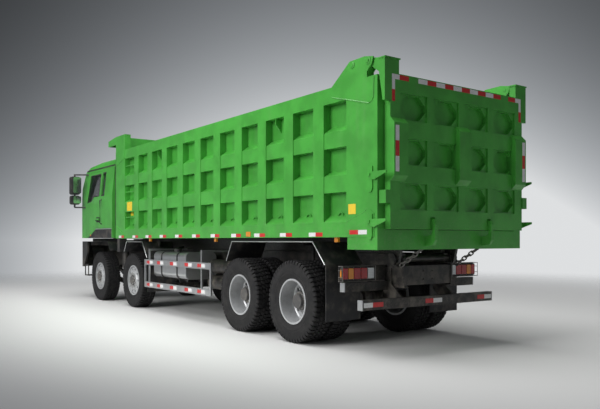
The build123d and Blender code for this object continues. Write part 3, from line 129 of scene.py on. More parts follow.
class Value:
    """One output of a shader node, which can stand in sums with others and with numbers."""

    def __init__(self, finish, socket):
        self.finish = finish
        self.socket = socket

    def _maths(self, operation, *parts):
        return self.finish.add("ShaderNodeMath", {"operation": operation}, dict(enumerate(parts)))

    def __add__(self, other):
        return self._maths("ADD", self, other)

    def __radd__(self, other):
        return self._maths("ADD", other, self)

    def __sub__(self, other):
        return self._maths("SUBTRACT", self, other)

    def __rsub__(self, other):
        return self._maths("SUBTRACT", other, self)

    def __mul__(self, other):
        return self._maths("MULTIPLY", self, other)

    def __rmul__(self, other):
        return self._maths("MULTIPLY", other, self)

    def __truediv__(self, other):
        return self._maths("DIVIDE", self, other)

    def power(self, other):
        return self._maths("POWER", self, other)

    def least(self, other):
        return self._maths("MINIMUM", self, other)

    def most(self, other):
        return self._maths("MAXIMUM", self, other)

    def above(self, other):
        return self._maths("GREATER_THAN", self, other)

    def size(self):
        return self._maths("ABSOLUTE", self)

    def fold(self, pitch):
        return self._maths("FLOORED_MODULO", self, pitch)

    def wave(self, pitch):
        """Runs from 1 down to 0 and back to 1 in each pitch."""
        return (self.fold(pitch) / pitch - 0.5).size() * 2.0

    def spread(self, low, high, to_low=0.0, to_high=1.0):
        """Maps low..high smoothly to to_low..to_high and holds the ends."""
        return self.finish.add(
            "ShaderNodeMapRange", {"interpolation_type": "SMOOTHSTEP"},
            {"Value": self, "From Min": low, "From Max": high, "To Min": to_low, "To Max": to_high},
        )


class Finish:
    """A material being made: its node tree, its Principled shader and its coordinates."""

    def __init__(self, name):
        self.material = bpy.data.materials.new(name)
        self.material.use_nodes = True
        self.tree = self.material.node_tree
        self.tree.nodes.clear()
        result = self.tree.nodes.new("ShaderNodeOutputMaterial")
        self.shader = self.tree.nodes.new("ShaderNodeBsdfPrincipled")
        self.tree.links.new(self.shader.outputs[0], result.inputs["Surface"])
        self.place = self.add("ShaderNodeTexCoord", {}, {}, "Object")
        split = self.tree.nodes.new("ShaderNodeSeparateXYZ")
        self.tree.links.new(self.place.socket, split.inputs[0])
        self.x, self.y, self.z = [Value(self, out) for out in split.outputs]

    def add(self, kind, settings, inputs, output=0):
        """Any node: its settings first, then the values or links of its sockets."""
        node = self.tree.nodes.new(kind)
        for key, value in settings.items():
            setattr(node, key, value)
        for key, value in inputs.items():
            self.feed(node.inputs[key], value)
        return Value(self, node.outputs[output])

    def feed(self, socket, value):
        """Links a socket to a value, or sets it to a number or colour."""
        if isinstance(value, Value):
            self.tree.links.new(value.socket, socket)
        else:
            socket.default_value = value

    def noise(self, scale, detail=4.0, stretch=None, rough=0.55):
        """Even noise, drawn out along an axis where a stretch is given."""
        place = self.place
        if stretch:
            place = self.add("ShaderNodeMapping", {}, {"Vector": place, "Scale": stretch})
        inputs = {"Vector": place, "Scale": scale, "Detail": detail, "Roughness": rough}
        return self.add("ShaderNodeTexNoise", {}, inputs)

    def mix(self, factor, first, second):
        """Colour from first to second."""
        first, second = [c if isinstance(c, Value) else (*c, 1.0) for c in (first, second)]
        return self.add("ShaderNodeMix", {"data_type": "RGBA"}, {0: factor, 6: first, 7: second}, 2)

    def bump(self, height, strength, distance):
        """Lets a height stand out of the surface, by a distance in metres."""
        inputs = {"Height": height, "Strength": strength, "Distance": distance}
        self.set(Normal=self.add("ShaderNodeBump", {}, inputs))

    def set(self, **sockets):
        """Values or links of the Principled shader, with _ for each space."""
        for key, value in sockets.items():
            if hasattr(value, "__len__"):
                value = (*value, 1.0)
            self.feed(self.shader.inputs[key.replace("_", " ")], value)


DUST = (0.33, 0.29, 0.24)
TYRE_DUST = (0.075, 0.07, 0.066)
BRAKE_DUST = (0.24, 0.22, 0.2)
METAL_DUST = (0.3, 0.28, 0.25)
OIL = (0.17, 0.15, 0.13)
# near black that the bed's floor turns to below a height
UNDERSIDE_DARK = (0.015, 0.017, 0.016)
UNDERSIDE_TOP = 1.476       # height under which the bed's floor turns near black


def shade(colour, share):
    """A darker tone of a colour."""
    return tuple(c * share for c in colour)


def enamel(name, colour, dust_top=1.9, dust_low=0.9, most=0.35, gloss=0.28, dark_below=None):
    """Sprayed paint: faint mottling, rain streaks, and road dust that thins upward. The colour may turn near black
    below a height."""
    f = Finish(name)
    tone = f.mix(f.noise(3.0, 3.0).spread(0.35, 0.65), shade(colour, 0.8), colour)
    if dark_below:
        tone = f.mix(f.z.above(dark_below), UNDERSIDE_DARK, tone)
    streak = f.noise(9.0, 3.0, (1.0, 1.0, 0.08)).spread(0.5, 0.78)
    low = f.z.spread(dust_low, dust_top, 1.0, 0.0)
    speck = f.noise(38.0, 6.0, rough=0.7).spread(0.42, 0.72)
    film = (low * speck * most + streak * 0.05 + speck * 0.02).least(0.9)
    f.set(Base_Color=f.mix(film, tone, DUST), Roughness=film * 0.9 + gloss + speck * 0.05)
    f.set(Coat_Weight=0.18, Coat_Roughness=0.28, Specular_IOR_Level=0.42)
    f.bump(f.noise(420.0, 2.0), 0.06, 0.0006)
    return f.material


def chassis_enamel(name, colour, most=0.6):
    """Satin chassis paint under a film of dried mud, thickest low down."""
    f = Finish(name)
    clump = f.noise(7.0, 6.0, rough=0.65).spread(0.4, 0.68)
    fine = f.noise(90.0, 4.0, rough=0.7).spread(0.35, 0.75)
    low = f.z.spread(0.3, 1.3, 1.0, 0.25)
    film = (clump * 0.7 + fine * 0.3) * low * most
    f.set(Base_Color=f.mix(film, colour, DUST), Roughness=film * 0.45 + 0.38, Specular_IOR_Level=0.45)
    f.bump(clump * 0.6 + fine * 0.4, 0.25, 0.002)
    return f.material


def tyre_rubber(name, colour):
    """Tyre rubber with dust held in the grooves and a fine pebbled skin."""
    f = Finish(name)
    clump = f.noise(11.0, 6.0, rough=0.65).spread(0.38, 0.7)
    fine = f.noise(160.0, 3.0).spread(0.3, 0.7)
    film = clump * 0.2 + fine * 0.08
    f.set(Base_Color=f.mix(film, colour, TYRE_DUST), Roughness=film * 0.2 + 0.7)
    f.set(Specular_IOR_Level=0.3)
    f.bump(fine, 0.3, 0.0012)
    return f.material


def wheel_paint(name, colour):
    """Silver wheel paint with brake dust and grime."""
    f = Finish(name)
    clump = f.noise(14.0, 6.0, rough=0.65).spread(0.45, 0.75)
    fine = f.noise(120.0, 4.0).spread(0.4, 0.7)
    film = clump * 0.3 + fine * 0.12
    f.set(Base_Color=f.mix(film, colour, BRAKE_DUST), Roughness=film * 0.5 + 0.34, Metallic=0.35)
    f.bump(fine, 0.08, 0.0008)
    return f.material


def drawn_metal(name, colour, along=(0.02, 1.0, 1.0), metallic=0.85, dust=0.22):
    """Extruded or rolled metal: fine lines along one way, dull patches and dust."""
    f = Finish(name)
    line = f.noise(260.0, 2.0, along)
    patch = f.noise(5.0, 5.0).spread(0.4, 0.7)
    film = patch * dust
    tone = f.mix(line, shade(colour, 0.85), colour)
    f.set(Base_Color=f.mix(film, tone, METAL_DUST))
    f.set(Roughness=line * 0.16 + film * 0.5 + 0.24, Metallic=metallic)
    f.bump(line, 0.1, 0.0005)
    return f.material


def moulded(name, colour, rough=0.6, grain=240.0, dust=0.2):
    """Moulded plastic with a leathery grain and a little dust."""
    f = Finish(name)
    cell = f.add("ShaderNodeTexVoronoi", {"feature": "SMOOTH_F1"}, {"Vector": f.place, "Scale": grain})
    patch = f.noise(8.0, 5.0).spread(0.42, 0.72) * dust
    f.set(Base_Color=f.mix(patch, colour, DUST), Roughness=patch * 0.4 + rough)
    f.bump(cell, 0.2, 0.0006)
    return f.material


def cast_metal(name, colour):
    """Cast housing: sandy skin, oil stains and dust."""
    f = Finish(name)
    stain = f.noise(6.0, 6.0, rough=0.7).spread(0.4, 0.7)
    sand = f.noise(300.0, 3.0)
    f.set(Base_Color=f.mix(stain, colour, OIL), Roughness=stain * 0.25 + 0.5, Metallic=0.3)
    f.bump(sand, 0.35, 0.0012)
    return f.material


def chrome(name, colour):
    """Hard chrome with faint lengthwise wipe marks."""
    f = Finish(name)
    wipe = f.noise(180.0, 2.0, (1.0, 1.0, 0.03))
    f.set(Base_Color=f.mix(wipe, shade(colour, 0.9), colour), Roughness=wipe * 0.1 + 0.1)
    f.set(Metallic=1.0)
    return f.material


def tinted_glass(name, colour, alpha=0.42):
    """Tinted safety glass with a faint film of dust."""
    f = Finish(name)
    film = f.noise(30.0, 5.0).spread(0.5, 0.8)
    f.set(Base_Color=f.mix(film * 0.12, colour, DUST), Roughness=film * 0.12 + 0.03, Alpha=film * 0.1 + alpha)
    f.set(Specular_IOR_Level=0.6, Coat_Weight=0.3)
    return f.material


def lens(name, colour, pitch=0.012, alpha=1.0, glow=0.05):
    """Moulded lamp lens with rows of small prisms."""
    f = Finish(name)
    prism = f.y.wave(pitch).least(f.z.wave(pitch))
    f.set(Base_Color=f.mix(prism, shade(colour, 0.6), colour), Roughness=0.12, Coat_Weight=0.8)
    f.set(Emission_Color=colour, Emission_Strength=glow, Alpha=alpha)
    f.bump(prism, 0.35, 0.001)
    return f.material


def reflective(name, colour):
    """Retro-reflective tape: bright sheet with a faint honeycomb."""
    f = Finish(name)
    cell = f.add("ShaderNodeTexVoronoi", {"feature": "DISTANCE_TO_EDGE"}, {"Vector": f.place, "Scale": 150.0})
    web = cell.spread(0.02, 0.07)
    grime = f.noise(20.0, 5.0).spread(0.5, 0.8) * 0.2
    tone = f.mix(web, shade(colour, 0.8), colour)
    f.set(Base_Color=f.mix(grime, tone, DUST), Roughness=grime * 0.4 + 0.3, Coat_Weight=0.4)
    return f.material


def seat_cloth(name, colour, thread=0.004):
    """Woven seat cover with a cross weave."""
    f = Finish(name)
    weave = (f.x + f.z).wave(thread) * f.y.wave(thread)
    f.set(Base_Color=f.mix(weave, shade(colour, 0.6), colour), Roughness=0.92, Sheen_Weight=0.3)
    f.bump(weave, 0.4, 0.001)
    return f.material


def blank_plate(name, colour):
    """Plain sheet plate, slightly faded and scuffed."""
    f = Finish(name)
    fade = f.noise(25.0, 5.0).spread(0.4, 0.7)
    worn = tuple(c * 0.6 + 0.12 for c in colour)
    f.set(Base_Color=f.mix(fade * 0.25, colour, worn), Roughness=fade * 0.2 + 0.4)
    f.bump(fade, 0.05, 0.0005)
    return f.material


def circle(radius, sides):
    """Pairs of coordinates round a circle."""
    return [(radius * cos(2 * pi * i / sides), radius * sin(2 * pi * i / sides)) for i in range(sides)]


def on_axis(axis, along, a, b):
    """A point at a distance along an axis, with its two other coordinates in the frame's order."""
    return {"x": (along, a, b), "y": (a, along, b), "z": (a, b, along)}[axis]


class Shape:
    """A mesh being built, in metres, in the truck's own frame."""

    def __init__(self):
        self.bm = bmesh.new()

    def join(self, first, second):
        """A band of faces between two rings of as many points each."""
        count = len(first)
        for i in range(count):
            j = (i + 1) % count
            self.bm.faces.new((first[i], first[j], second[j], second[i]))

    def hull(self, rings):
        """Joins rings of as many points each, and closes both ends."""
        made = [[self.bm.verts.new(point) for point in ring] for ring in rings]
        for first, second in zip(made, made[1:]):
            self.join(first, second)
        self.bm.faces.new(list(reversed(made[0])))
        self.bm.faces.new(made[-1])
        return self

    def box(self, corner, opposite):
        """A block between two opposite corners, given in any order."""
        (x0, x1), (y0, y1), (z0, z1) = [sorted(pair) for pair in zip(corner, opposite)]
        return self.prism(((x0, y0), (x1, y0), (x1, y1), (x0, y1)), "z", z0, z1)

    def prism(self, outline, axis, start, end):
        """An outline of two coordinates, in the frame's order, drawn out along an axis."""
        return self.hull([[on_axis(axis, along, a, b) for a, b in outline] for along in (start, end)])

    def tube(self, path, radius, sides=10):
        """A round bar along a path of points."""
        path = [Vector(point) for point in path]
        rings = []
        for index, point in enumerate(path):
            ahead = path[min(index + 1, len(path) - 1)] - path[max(index - 1, 0)]
            turn = ahead.to_track_quat("Z", "Y")
            rings.append([point + turn @ Vector((a, b, 0)) for a, b in circle(radius, sides)])
        return self.hull(rings)

    def lathe(self, centre, profile, out=1, segments=48, axis="y"):
        """Turns a profile of (radius, distance out) about an axis through the centre. The profile's
        ends either lie on the axis, where they close in a pole, or meet."""
        centre = Vector(centre)
        rings = []
        for radius, along in profile:
            points = circle(radius, segments) if radius > 0 else [(0, 0)]
            rings.append([
                self.bm.verts.new(centre + Vector(on_axis(axis, out * along, a, b))) for a, b in points
            ])
        pairs = list(zip(rings, rings[1:]))
        if len(rings[0]) > 1 and len(rings[-1]) > 1:
            pairs.append((rings[-1], rings[0]))
        for first, second in pairs:
            for i in range(segments):
                j = (i + 1) % segments
                corners = (first[i % len(first)], first[j % len(first)],
                           second[j % len(second)], second[i % len(second)])
                unique = list(dict.fromkeys(corners))
                if len(unique) > 2:
                    self.bm.faces.new(unique)
        return self

    def ring(self, loops):
        """Joins closed loops of as many points each into a closed ring, the last to the first."""
        made = [[self.bm.verts.new(point) for point in loop] for loop in loops]
        for first, second in zip(made, made[1:] + made[:1]):
            self.join(first, second)
        return self

    def closed_tube(self, path, radius, sides=8):
        """A round bar along a closed path, whose first point lies in a bend."""
        path = [Vector(point) for point in path]
        loops = []
        across = None
        for index, point in enumerate(path):
            before, after = path[index - 1], path[(index + 1) % len(path)]
            bend = (after - point).cross(point - before)
            if bend.length > 1e-9:
                across = bend.normalized()
            out = (after - before).normalized().cross(across)
            loops.append([point + out * a + across * b for a, b in circle(radius, sides)])
        return self.ring(loops)

    def placed(self, matrix):
        """Moves all that is built so far."""
        bmesh.ops.transform(self.bm, matrix=matrix, verts=self.bm.verts)
        return self

    def mesh(self, name="part"):
        """The plain mesh, with its faces pointing outwards."""
        bmesh.ops.recalc_face_normals(self.bm, faces=self.bm.faces)
        mesh = bpy.data.meshes.new(name)
        self.bm.to_mesh(mesh)
        self.bm.free()
        return mesh

    def piece(self, name, body, finish, slot, edge=0.0, smooth=35.0, replaces=()):
        """Ends the mesh as a piece on a body."""
        return mesh_piece(name, self.mesh(name), body, finish, edge, smooth, replaces)


def mesh_piece(name, mesh, body, finish, edge=0.0, smooth=35.0, replaces=()):
    """Puts a mesh on a body with its material, its edge rounding and the nodes that it stands for."""
    piece = bpy.data.objects.new(name, mesh)
    bpy.context.scene.collection.objects.link(piece)
    if finish is not None:
        mesh.materials.clear()
        mesh.materials.append(finish)
    mesh.shade_smooth()
    mesh.set_sharp_from_angle(angle=radians(smooth))
    if edge:
        rounding = piece.modifiers.new("Rounded edges", "BEVEL")
        rounding.width = edge
        rounding.segments = 2
        rounding.limit_method = "ANGLE"
        rounding.angle_limit = radians(30)
        rounding.harden_normals = True
    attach(piece, body)
    if replaces:
        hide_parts(*replaces)
    return piece


def add_socket(tree, name, kind, default=None):
    """A named input of a Geometry Nodes tree."""
    socket = tree.interface.new_socket(name, in_out="INPUT", socket_type=kind)
    if default is not None:
        socket.default_value = default
    return socket.identifier


def new_tree(name, sockets):
    """A Geometry Nodes tree with its geometry socket, named inputs and result."""
    tree = bpy.data.node_groups.new(name, "GeometryNodeTree")
    tree.interface.new_socket("Geometry", in_out="INPUT", socket_type="NodeSocketGeometry")
    keys = {label: add_socket(tree, label, kind, default) for label, kind, default in sockets}
    tree.interface.new_socket("Geometry", in_out="OUTPUT", socket_type="NodeSocketGeometry")
    given = tree.nodes.new("NodeGroupInput")
    result = tree.nodes.new("NodeGroupOutput")
    return tree, keys, given, result


def gn(tree, kind, inputs=(), **settings):
    """A node of a tree, with its settings and the values or links of its sockets."""
    node = tree.nodes.new(kind)
    for key, value in settings.items():
        setattr(node, key, value)
    for key, value in dict(inputs).items():
        if isinstance(value, bpy.types.NodeSocket):
            tree.links.new(value, node.inputs[key])
        else:
            node.inputs[key].default_value = value
    return node


def ring_tree():
    """Copies the geometry round the Y axis and moves the ring to its centre."""
    tree, keys, given, result = new_tree("Ring of copies", (
        ("Count", "NodeSocketInt", 10), ("Phase", "NodeSocketFloat", 0.0),
        ("Centre", "NodeSocketVector", (0, 0, 0)), ("Material", "NodeSocketMaterial", None),
    ))
    points = gn(tree, "GeometryNodePoints", {"Count": given.outputs["Count"]})
    index = gn(tree, "GeometryNodeInputIndex")
    step = gn(tree, "ShaderNodeMath", {0: 2 * pi, 1: given.outputs["Count"]}, operation="DIVIDE")
    turn = gn(tree, "ShaderNodeMath",
              {0: index.outputs[0], 1: step.outputs[0], 2: given.outputs["Phase"]}, operation="MULTIPLY_ADD")
    angles = gn(tree, "ShaderNodeCombineXYZ", {"Y": turn.outputs[0]})
    copies = gn(tree, "GeometryNodeInstanceOnPoints", {
        "Points": points.outputs[0], "Instance": given.outputs["Geometry"], "Rotation": angles.outputs[0]})
    solid = gn(tree, "GeometryNodeRealizeInstances", {"Geometry": copies.outputs[0]})
    moved = gn(tree, "GeometryNodeTransform",
               {"Geometry": solid.outputs[0], "Translation": given.outputs["Centre"]})
    coated = gn(tree, "GeometryNodeSetMaterial",
                {"Geometry": moved.outputs[0], "Material": given.outputs["Material"]})
    tree.links.new(coated.outputs[0], result.inputs[0])
    return tree, keys


def row_tree():
    """Copies a small geometry to every point of the mesh that is handed in as points."""
    tree, keys, given, result = new_tree("Copies on points", (
        ("Copy", "NodeSocketObject", None), ("Turn", "NodeSocketVector", (0, 0, 0)),
        ("Material", "NodeSocketMaterial", None),
    ))
    source = gn(tree, "GeometryNodeObjectInfo", {"Object": given.outputs["Copy"]})
    copies = gn(tree, "GeometryNodeInstanceOnPoints", {
        "Points": given.outputs["Geometry"], "Instance": source.outputs["Geometry"],
        "Rotation": given.outputs["Turn"]})
    solid = gn(tree, "GeometryNodeRealizeInstances", {"Geometry": copies.outputs[0]})
    coated = gn(tree, "GeometryNodeSetMaterial",
                {"Geometry": solid.outputs[0], "Material": given.outputs["Material"]})
    tree.links.new(coated.outputs[0], result.inputs[0])
    return tree, keys


TREES = {}


def grown(mesh, tree_name, values):
    """The plain mesh that a tree makes from a mesh and the values of its named inputs."""
    tree, keys = TREES[tree_name]
    holder = bpy.data.objects.new("holder", mesh)
    bpy.context.scene.collection.objects.link(holder)
    modifier = holder.modifiers.new("Nodes", "NODES")
    modifier.node_group = tree
    for label, value in values.items():
        modifier[keys[label]] = value
    depsgraph = bpy.context.evaluated_depsgraph_get()
    plain = bpy.data.meshes.new_from_object(holder.evaluated_get(depsgraph))
    bpy.data.objects.remove(holder)
    return plain


def ring_mesh(shape, count, centre, finish, phase=0.0):
    """A ring of copies of a shape that is built about the origin."""
    values = {"Count": count, "Phase": phase, "Centre": centre, "Material": finish}
    return grown(shape.mesh(), "ring", values)


def points_mesh(shape, points, finish, turn=(0, 0, 0)):
    """Copies of a shape, built about the origin, at each of the points."""
    source = bpy.data.objects.new("copy", shape.mesh())
    bpy.context.scene.collection.objects.link(source)
    cloud = bpy.data.meshes.new("points")
    cloud.from_pydata([tuple(point) for point in points], [], [])
    made = grown(cloud, "row", {"Copy": source, "Turn": turn, "Material": finish})
    bpy.data.objects.remove(source)
    return made


def join_meshes(name, meshes):
    """One mesh out of several."""
    bm = bmesh.new()
    for mesh in meshes:
        bm.from_mesh(mesh)
    joined = bpy.data.meshes.new(name)
    bm.to_mesh(joined)
    bm.free()
    return joined


PAINTS = {}


def colour_setting(name, description, default):
    """A colour that a user can change."""
    return bpy.props.FloatVectorProperty(
        name=name, description=description, subtype="COLOR", size=3, default=default, min=0, max=1)


def power_setting(name, description, default):
    """A lamp's power, or the strength of the even light."""
    return bpy.props.FloatProperty(name=name, description=description, default=default, min=0)


class TIPPER_PG_paint(bpy.types.PropertyGroup):
    """Colours of the truck's finishes."""

    body: colour_setting("Body green", "Paint of the cab and the bed", (0.07, 0.4, 0.052))
    chassis: colour_setting("Chassis black", "Paint of the frame and axles", (0.012, 0.012, 0.013))
    wheel: colour_setting("Wheel silver", "Paint of the wheels", (0.52, 0.53, 0.54))
    rubber: colour_setting("Tyre rubber", "Clean rubber of the tyres", (0.011, 0.011, 0.012))
    tape_red: colour_setting("Tape red", "Red of the marking tape", (0.62, 0.02, 0.02))
    plate_yellow: colour_setting("Plate yellow", "Blank plates on the bed", (0.85, 0.6, 0.03))


class TIPPER_PG_tyre(bpy.types.PropertyGroup):
    """Tread of the tyres."""

    lugs: bpy.props.IntProperty(
        name="Lugs", description="Shoulder lugs round one edge of a tyre", default=52, min=12, max=80)
    groove: bpy.props.FloatProperty(
        name="Groove", description="Depth of the tread's grooves", default=0.016, min=0.002, max=0.04,
        unit="LENGTH")


class TIPPER_PG_stage(bpy.types.PropertyGroup):
    """Floor, lamps and camera."""

    eye: bpy.props.FloatVectorProperty(
        name="Camera", description="Where the camera stands", subtype="TRANSLATION", size=3,
        default=(-10.555, 6.205, 1.350))
    heading: bpy.props.FloatProperty(
        name="Heading", description="Way the camera looks, from forward to the left", subtype="ANGLE",
        default=radians(-35.9))
    lens: bpy.props.FloatProperty(
        name="Lens", description="Focal length on a 36 mm sensor, in millimetres", default=39.5,
        min=10, max=200)
    rise: bpy.props.FloatProperty(
        name="Rise", description="Camera's vertical shift, as a share of the frame's width", default=0.0592)
    floor: colour_setting("Floor", "Colour of the floor near the truck", (0.7, 0.7, 0.69))
    near: bpy.props.FloatProperty(
        name="Near", description="Distance where the floor starts to fade", default=6.0, unit="LENGTH")
    far: bpy.props.FloatProperty(
        name="Far", description="Distance where only the backdrop is left", default=20.0, unit="LENGTH")
    sky: power_setting("Sky", "Strength of the even light", 0.17)
    top: power_setting("Top lamp", "Power of the lamp above", 1900.0)
    left: power_setting("Left lamp", "Power of the lamp on the left", 1450.0)
    behind: power_setting("Rear lamp", "Power of the lamp behind", 25.0)


def paint_all(paint):
    """Makes every finish that the pieces and nodes share."""
    PAINTS.update(
        body_green=enamel("body_green", paint.body, 2.0, 1.1, 0.16),
        floor_green=enamel("floor_green", paint.body, 2.0, 1.1, 0.3, dark_below=UNDERSIDE_TOP),
        cab_green=enamel("cab_green", paint.body, 2.0, 1.2, 0.14, 0.3),
        chassis=chassis_enamel("chassis_enamel", paint.chassis),
        rubber=tyre_rubber("tyre_rubber", paint.rubber),
        wheel=wheel_paint("wheel_silver", paint.wheel),
        hub=chassis_enamel("hub_grey", (0.07, 0.07, 0.072), 0.5),
        bright=drawn_metal("bright_aluminium", (0.62, 0.63, 0.64)),
        steel=drawn_metal("chain_steel", (0.2, 0.19, 0.185), (1, 1, 1), 0.7, 0.5),
        zinc=drawn_metal("zinc_bolts", (0.5, 0.5, 0.48), (1, 1, 1), 0.8, 0.3),
        ram=chrome("ram_chrome", (0.72, 0.72, 0.74)),
        cast=cast_metal("cast_housing", (0.07, 0.07, 0.072)),
        plastic=moulded("dark_plastic", (0.022, 0.022, 0.024)),
        cabin=moulded("cab_plastic", (0.07, 0.07, 0.075), 0.7, 320.0, 0.06),
        cloth=seat_cloth("seat_cloth", (0.09, 0.09, 0.1)),
        glass=tinted_glass("window_glass", (0.02, 0.026, 0.026)),
        red_lens=lens("red_lens", (0.42, 0.012, 0.012)),
        amber_lens=lens("amber_lens", (0.85, 0.3, 0.02)),
        clear_lens=lens("clear_lens", (0.75, 0.77, 0.8), 0.02),
        red_tape=reflective("red_tape", paint.tape_red),
        white_tape=reflective("white_tape", (0.82, 0.82, 0.82)),
        yellow=blank_plate("yellow_plate", paint.plate_yellow),
        mirror=chrome("mirror_glass", (0.85, 0.86, 0.88)),
        lamp_cover=tinted_glass("lamp_cover", (0.8, 0.82, 0.84), 0.12),
        smoke=tinted_glass("smoked_visor", (0.01, 0.01, 0.012), 0.8),
    )


SLOT_PAINT = {
    "tyre_rubber": "rubber", "wheel_silver": "wheel", "window_glass": "glass", "bed_green": "body_green",
    "cab_green": "cab_green", "cab_plastic": "cabin", "dark_plastic": "plastic", "bright_aluminium": "bright",
    "amber_plastic": "amber_lens", "red_plastic": "red_lens", "clear_lamp": "clear_lens",
    "chain_steel": "steel", "ram_chrome": "ram", "cast_housing": "cast", "chassis_black": "chassis",
}


class TIPPER_OT_finish_nodes(bpy.types.Operator):
    """Gives every loaded node its finish"""

    bl_idname = "tipper.finish_nodes"
    bl_label = "Finish Nodes"

    def execute(self, context):
        paint_all(context.scene.tipper_paint)
        slots = {row["node"]: row["material_slot"] for row in frame["record"]["subparts"]}
        for name, node in nodes.items():
            finish = PAINTS[SLOT_PAINT[slots[name]]]
            for slot in node.material_slots:
                slot.material = finish
        for slot in nodes["bed_floor"].material_slots:
            slot.material = PAINTS["floor_green"]
        return {"FINISHED"}


LUG_ROOT = 0.004         # how deep a lug is set into the carcass
LUG_TAPER = 4.0          # how much wider a lug gets, for each metre below its face
LUG_MIDDLE = 0.1         # distance out where a slanted lug isn't shifted


def lug_outline(groove):
    """Side view of a shoulder lug: (radius, distance out from the tyre's middle)."""
    half = TYRE_WIDTH / 2
    top = TYRE_RADIUS
    return ((top - groove - LUG_ROOT, 0.066), (top, 0.070), (top, half - 0.022),
            (top - 0.010, half - 0.007), (top - 0.034, half - 0.001), (top - 0.062, half - 0.006),
            (top - 0.070, half - 0.020))


def block_outline(groove):
    """Side view of a middle block, in the same way."""
    top = TYRE_RADIUS
    root = top - groove - LUG_ROOT
    return (root, 0.008), (top, 0.010), (top, 0.052), (root, 0.054)


def tread_lug(outline, width, slant, side):
    """One lug about the origin at the top of the wheel, narrower at its face than at its root."""
    shape = Shape()
    rings = []
    for share in (-0.5, 0.5):
        ring = []
        for radius, out in outline:
            depth = TYRE_RADIUS - radius
            half = width * share * (1 + depth * LUG_TAPER)
            along = half + slant * (out - LUG_MIDDLE)
            ring.append((along, side * out, (radius ** 2 - along ** 2) ** 0.5))
        rings.append(ring)
    return shape.hull(rings)


def tyre_profile(groove):
    """Closed profile of the carcass: (radius, distance out)."""
    top = TYRE_RADIUS - groove
    half = TYRE_WIDTH / 2
    right = [
        (top, 0.0), (top, 0.060), (top - 0.002, half - 0.030), (top - 0.020, half - 0.010),
        (top - 0.055, half - 0.004), (0.440, half), (0.400, half), (0.396, half - 0.003),
        (0.372, half - 0.003), (0.368, half - 0.006), (0.330, half - 0.018), (0.318, half - 0.020),
        (0.304, half - 0.030), (0.2865, half - 0.040),
    ]
    left = [(radius, -out) for radius, out in reversed(right[1:])]
    return right + left


def tyre_place(tyre):
    """Centre of a tyre node, and the middle of each of its tyres across the truck."""
    low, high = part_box(tyre)
    centre = (low + high) / 2
    half = TYRE_WIDTH / 2
    twins = high.y - low.y > 2 * TYRE_WIDTH
    return centre, [high.y - half, low.y + half] if twins else [centre.y]


class TIPPER_OT_tyres(bpy.types.Operator):
    """Builds every tyre with its side walls and blocky tread"""

    bl_idname = "tipper.tyres"
    bl_label = "Tyres"

    def execute(self, context):
        settings = context.scene.tipper_tyre
        rubber = PAINTS["rubber"]
        count = settings.lugs
        pitch = 2 * pi * TYRE_RADIUS / count
        profile = tyre_profile(settings.groove)
        rows = (
            # outline, share of the pitch, slant, hand whose ring starts half a pitch on
            (lug_outline(settings.groove), 0.62, 0.10, -1),
            (block_outline(settings.groove), 0.72, 0.35, 1),
        )
        for body, (tyre, *_) in WHEELS.items():
            centre, middles = tyre_place(tyre)
            meshes = []
            for middle in middles:
                hub = Vector((centre.x, middle, centre.z))
                meshes.append(Shape().lathe(hub, profile, segments=72).mesh())
                for hand in (1, -1):
                    for outline, share, slant, late in rows:
                        lug = tread_lug(outline, pitch * share, slant * hand, hand)
                        phase = pi / count if hand == late else 0.0
                        meshes.append(ring_mesh(lug, count, hub, rubber, phase))
            mesh_piece(tyre + "_tread", join_meshes(tyre, meshes), body, rubber,
                       smooth=32.0, replaces=(tyre,))
        return {"FINISHED"}


def hexagon(radius, height, axis="y"):
    """A hexagon nut or bolt head about the origin, standing on its face, with a bevelled top."""
    rings = []
    for share, along in ((1.0, 0.0), (1.0, height * 0.8), (0.86, height)):
        rings.append([on_axis(axis, along, a, b) for a, b in circle(radius * share, 6)])
    return Shape().hull(rings)


def bolt_piece(name, bolt, spots, finish, smooth=35.0):
    """Copies of a bolt head at each of the spots, as one piece on the chassis."""
    heads = points_mesh(bolt, spots, PAINTS[finish])
    mesh_piece(name, heads, "chassis", PAINTS[finish], smooth=smooth)


NUT = 0.016              # radius of a wheel nut
STUD = 0.009             # radius of a hub's bolt
VALVE = ((0.262, -0.030), (0.262, 0.012), (0.258, 0.030))    # (distance from the axle, way out)

# A wheel's hub cover as (radius, distance out), its rings of nuts and bolts, and how far out its valve is.
# A ring gives its count, its radius, its distance out, and the radius and height of one head.
SINGLE_WHEEL = (
    ((0, 0.12), (0.113, 0.128), (0.113, 0.1355), (0.106, 0.154), (0.071, 0.1625), (0, 0.164)),
    ((10, 0.140, 0.134, NUT, 0.026), (8, 0.088, 0.158, STUD, 0.008)),
    0.118,
)
TWIN_WHEELS = (
    ((0, 0.152), (0.072, 0.152), (0.072, 0.05), (0.1515, 0.05), (0.1515, 0.0612), (0.1292, 0.0672),
     (0.1233, 0.177), (0.101, 0.1852), (0.095, 0.2232), (0, 0.2296)),
    ((10, 0.166, 0.013, NUT, 0.028), (10, 0.112, 0.180, STUD, 0.008), (8, 0.139, 0.063, 0.008, 0.007)),
    0.075,
)


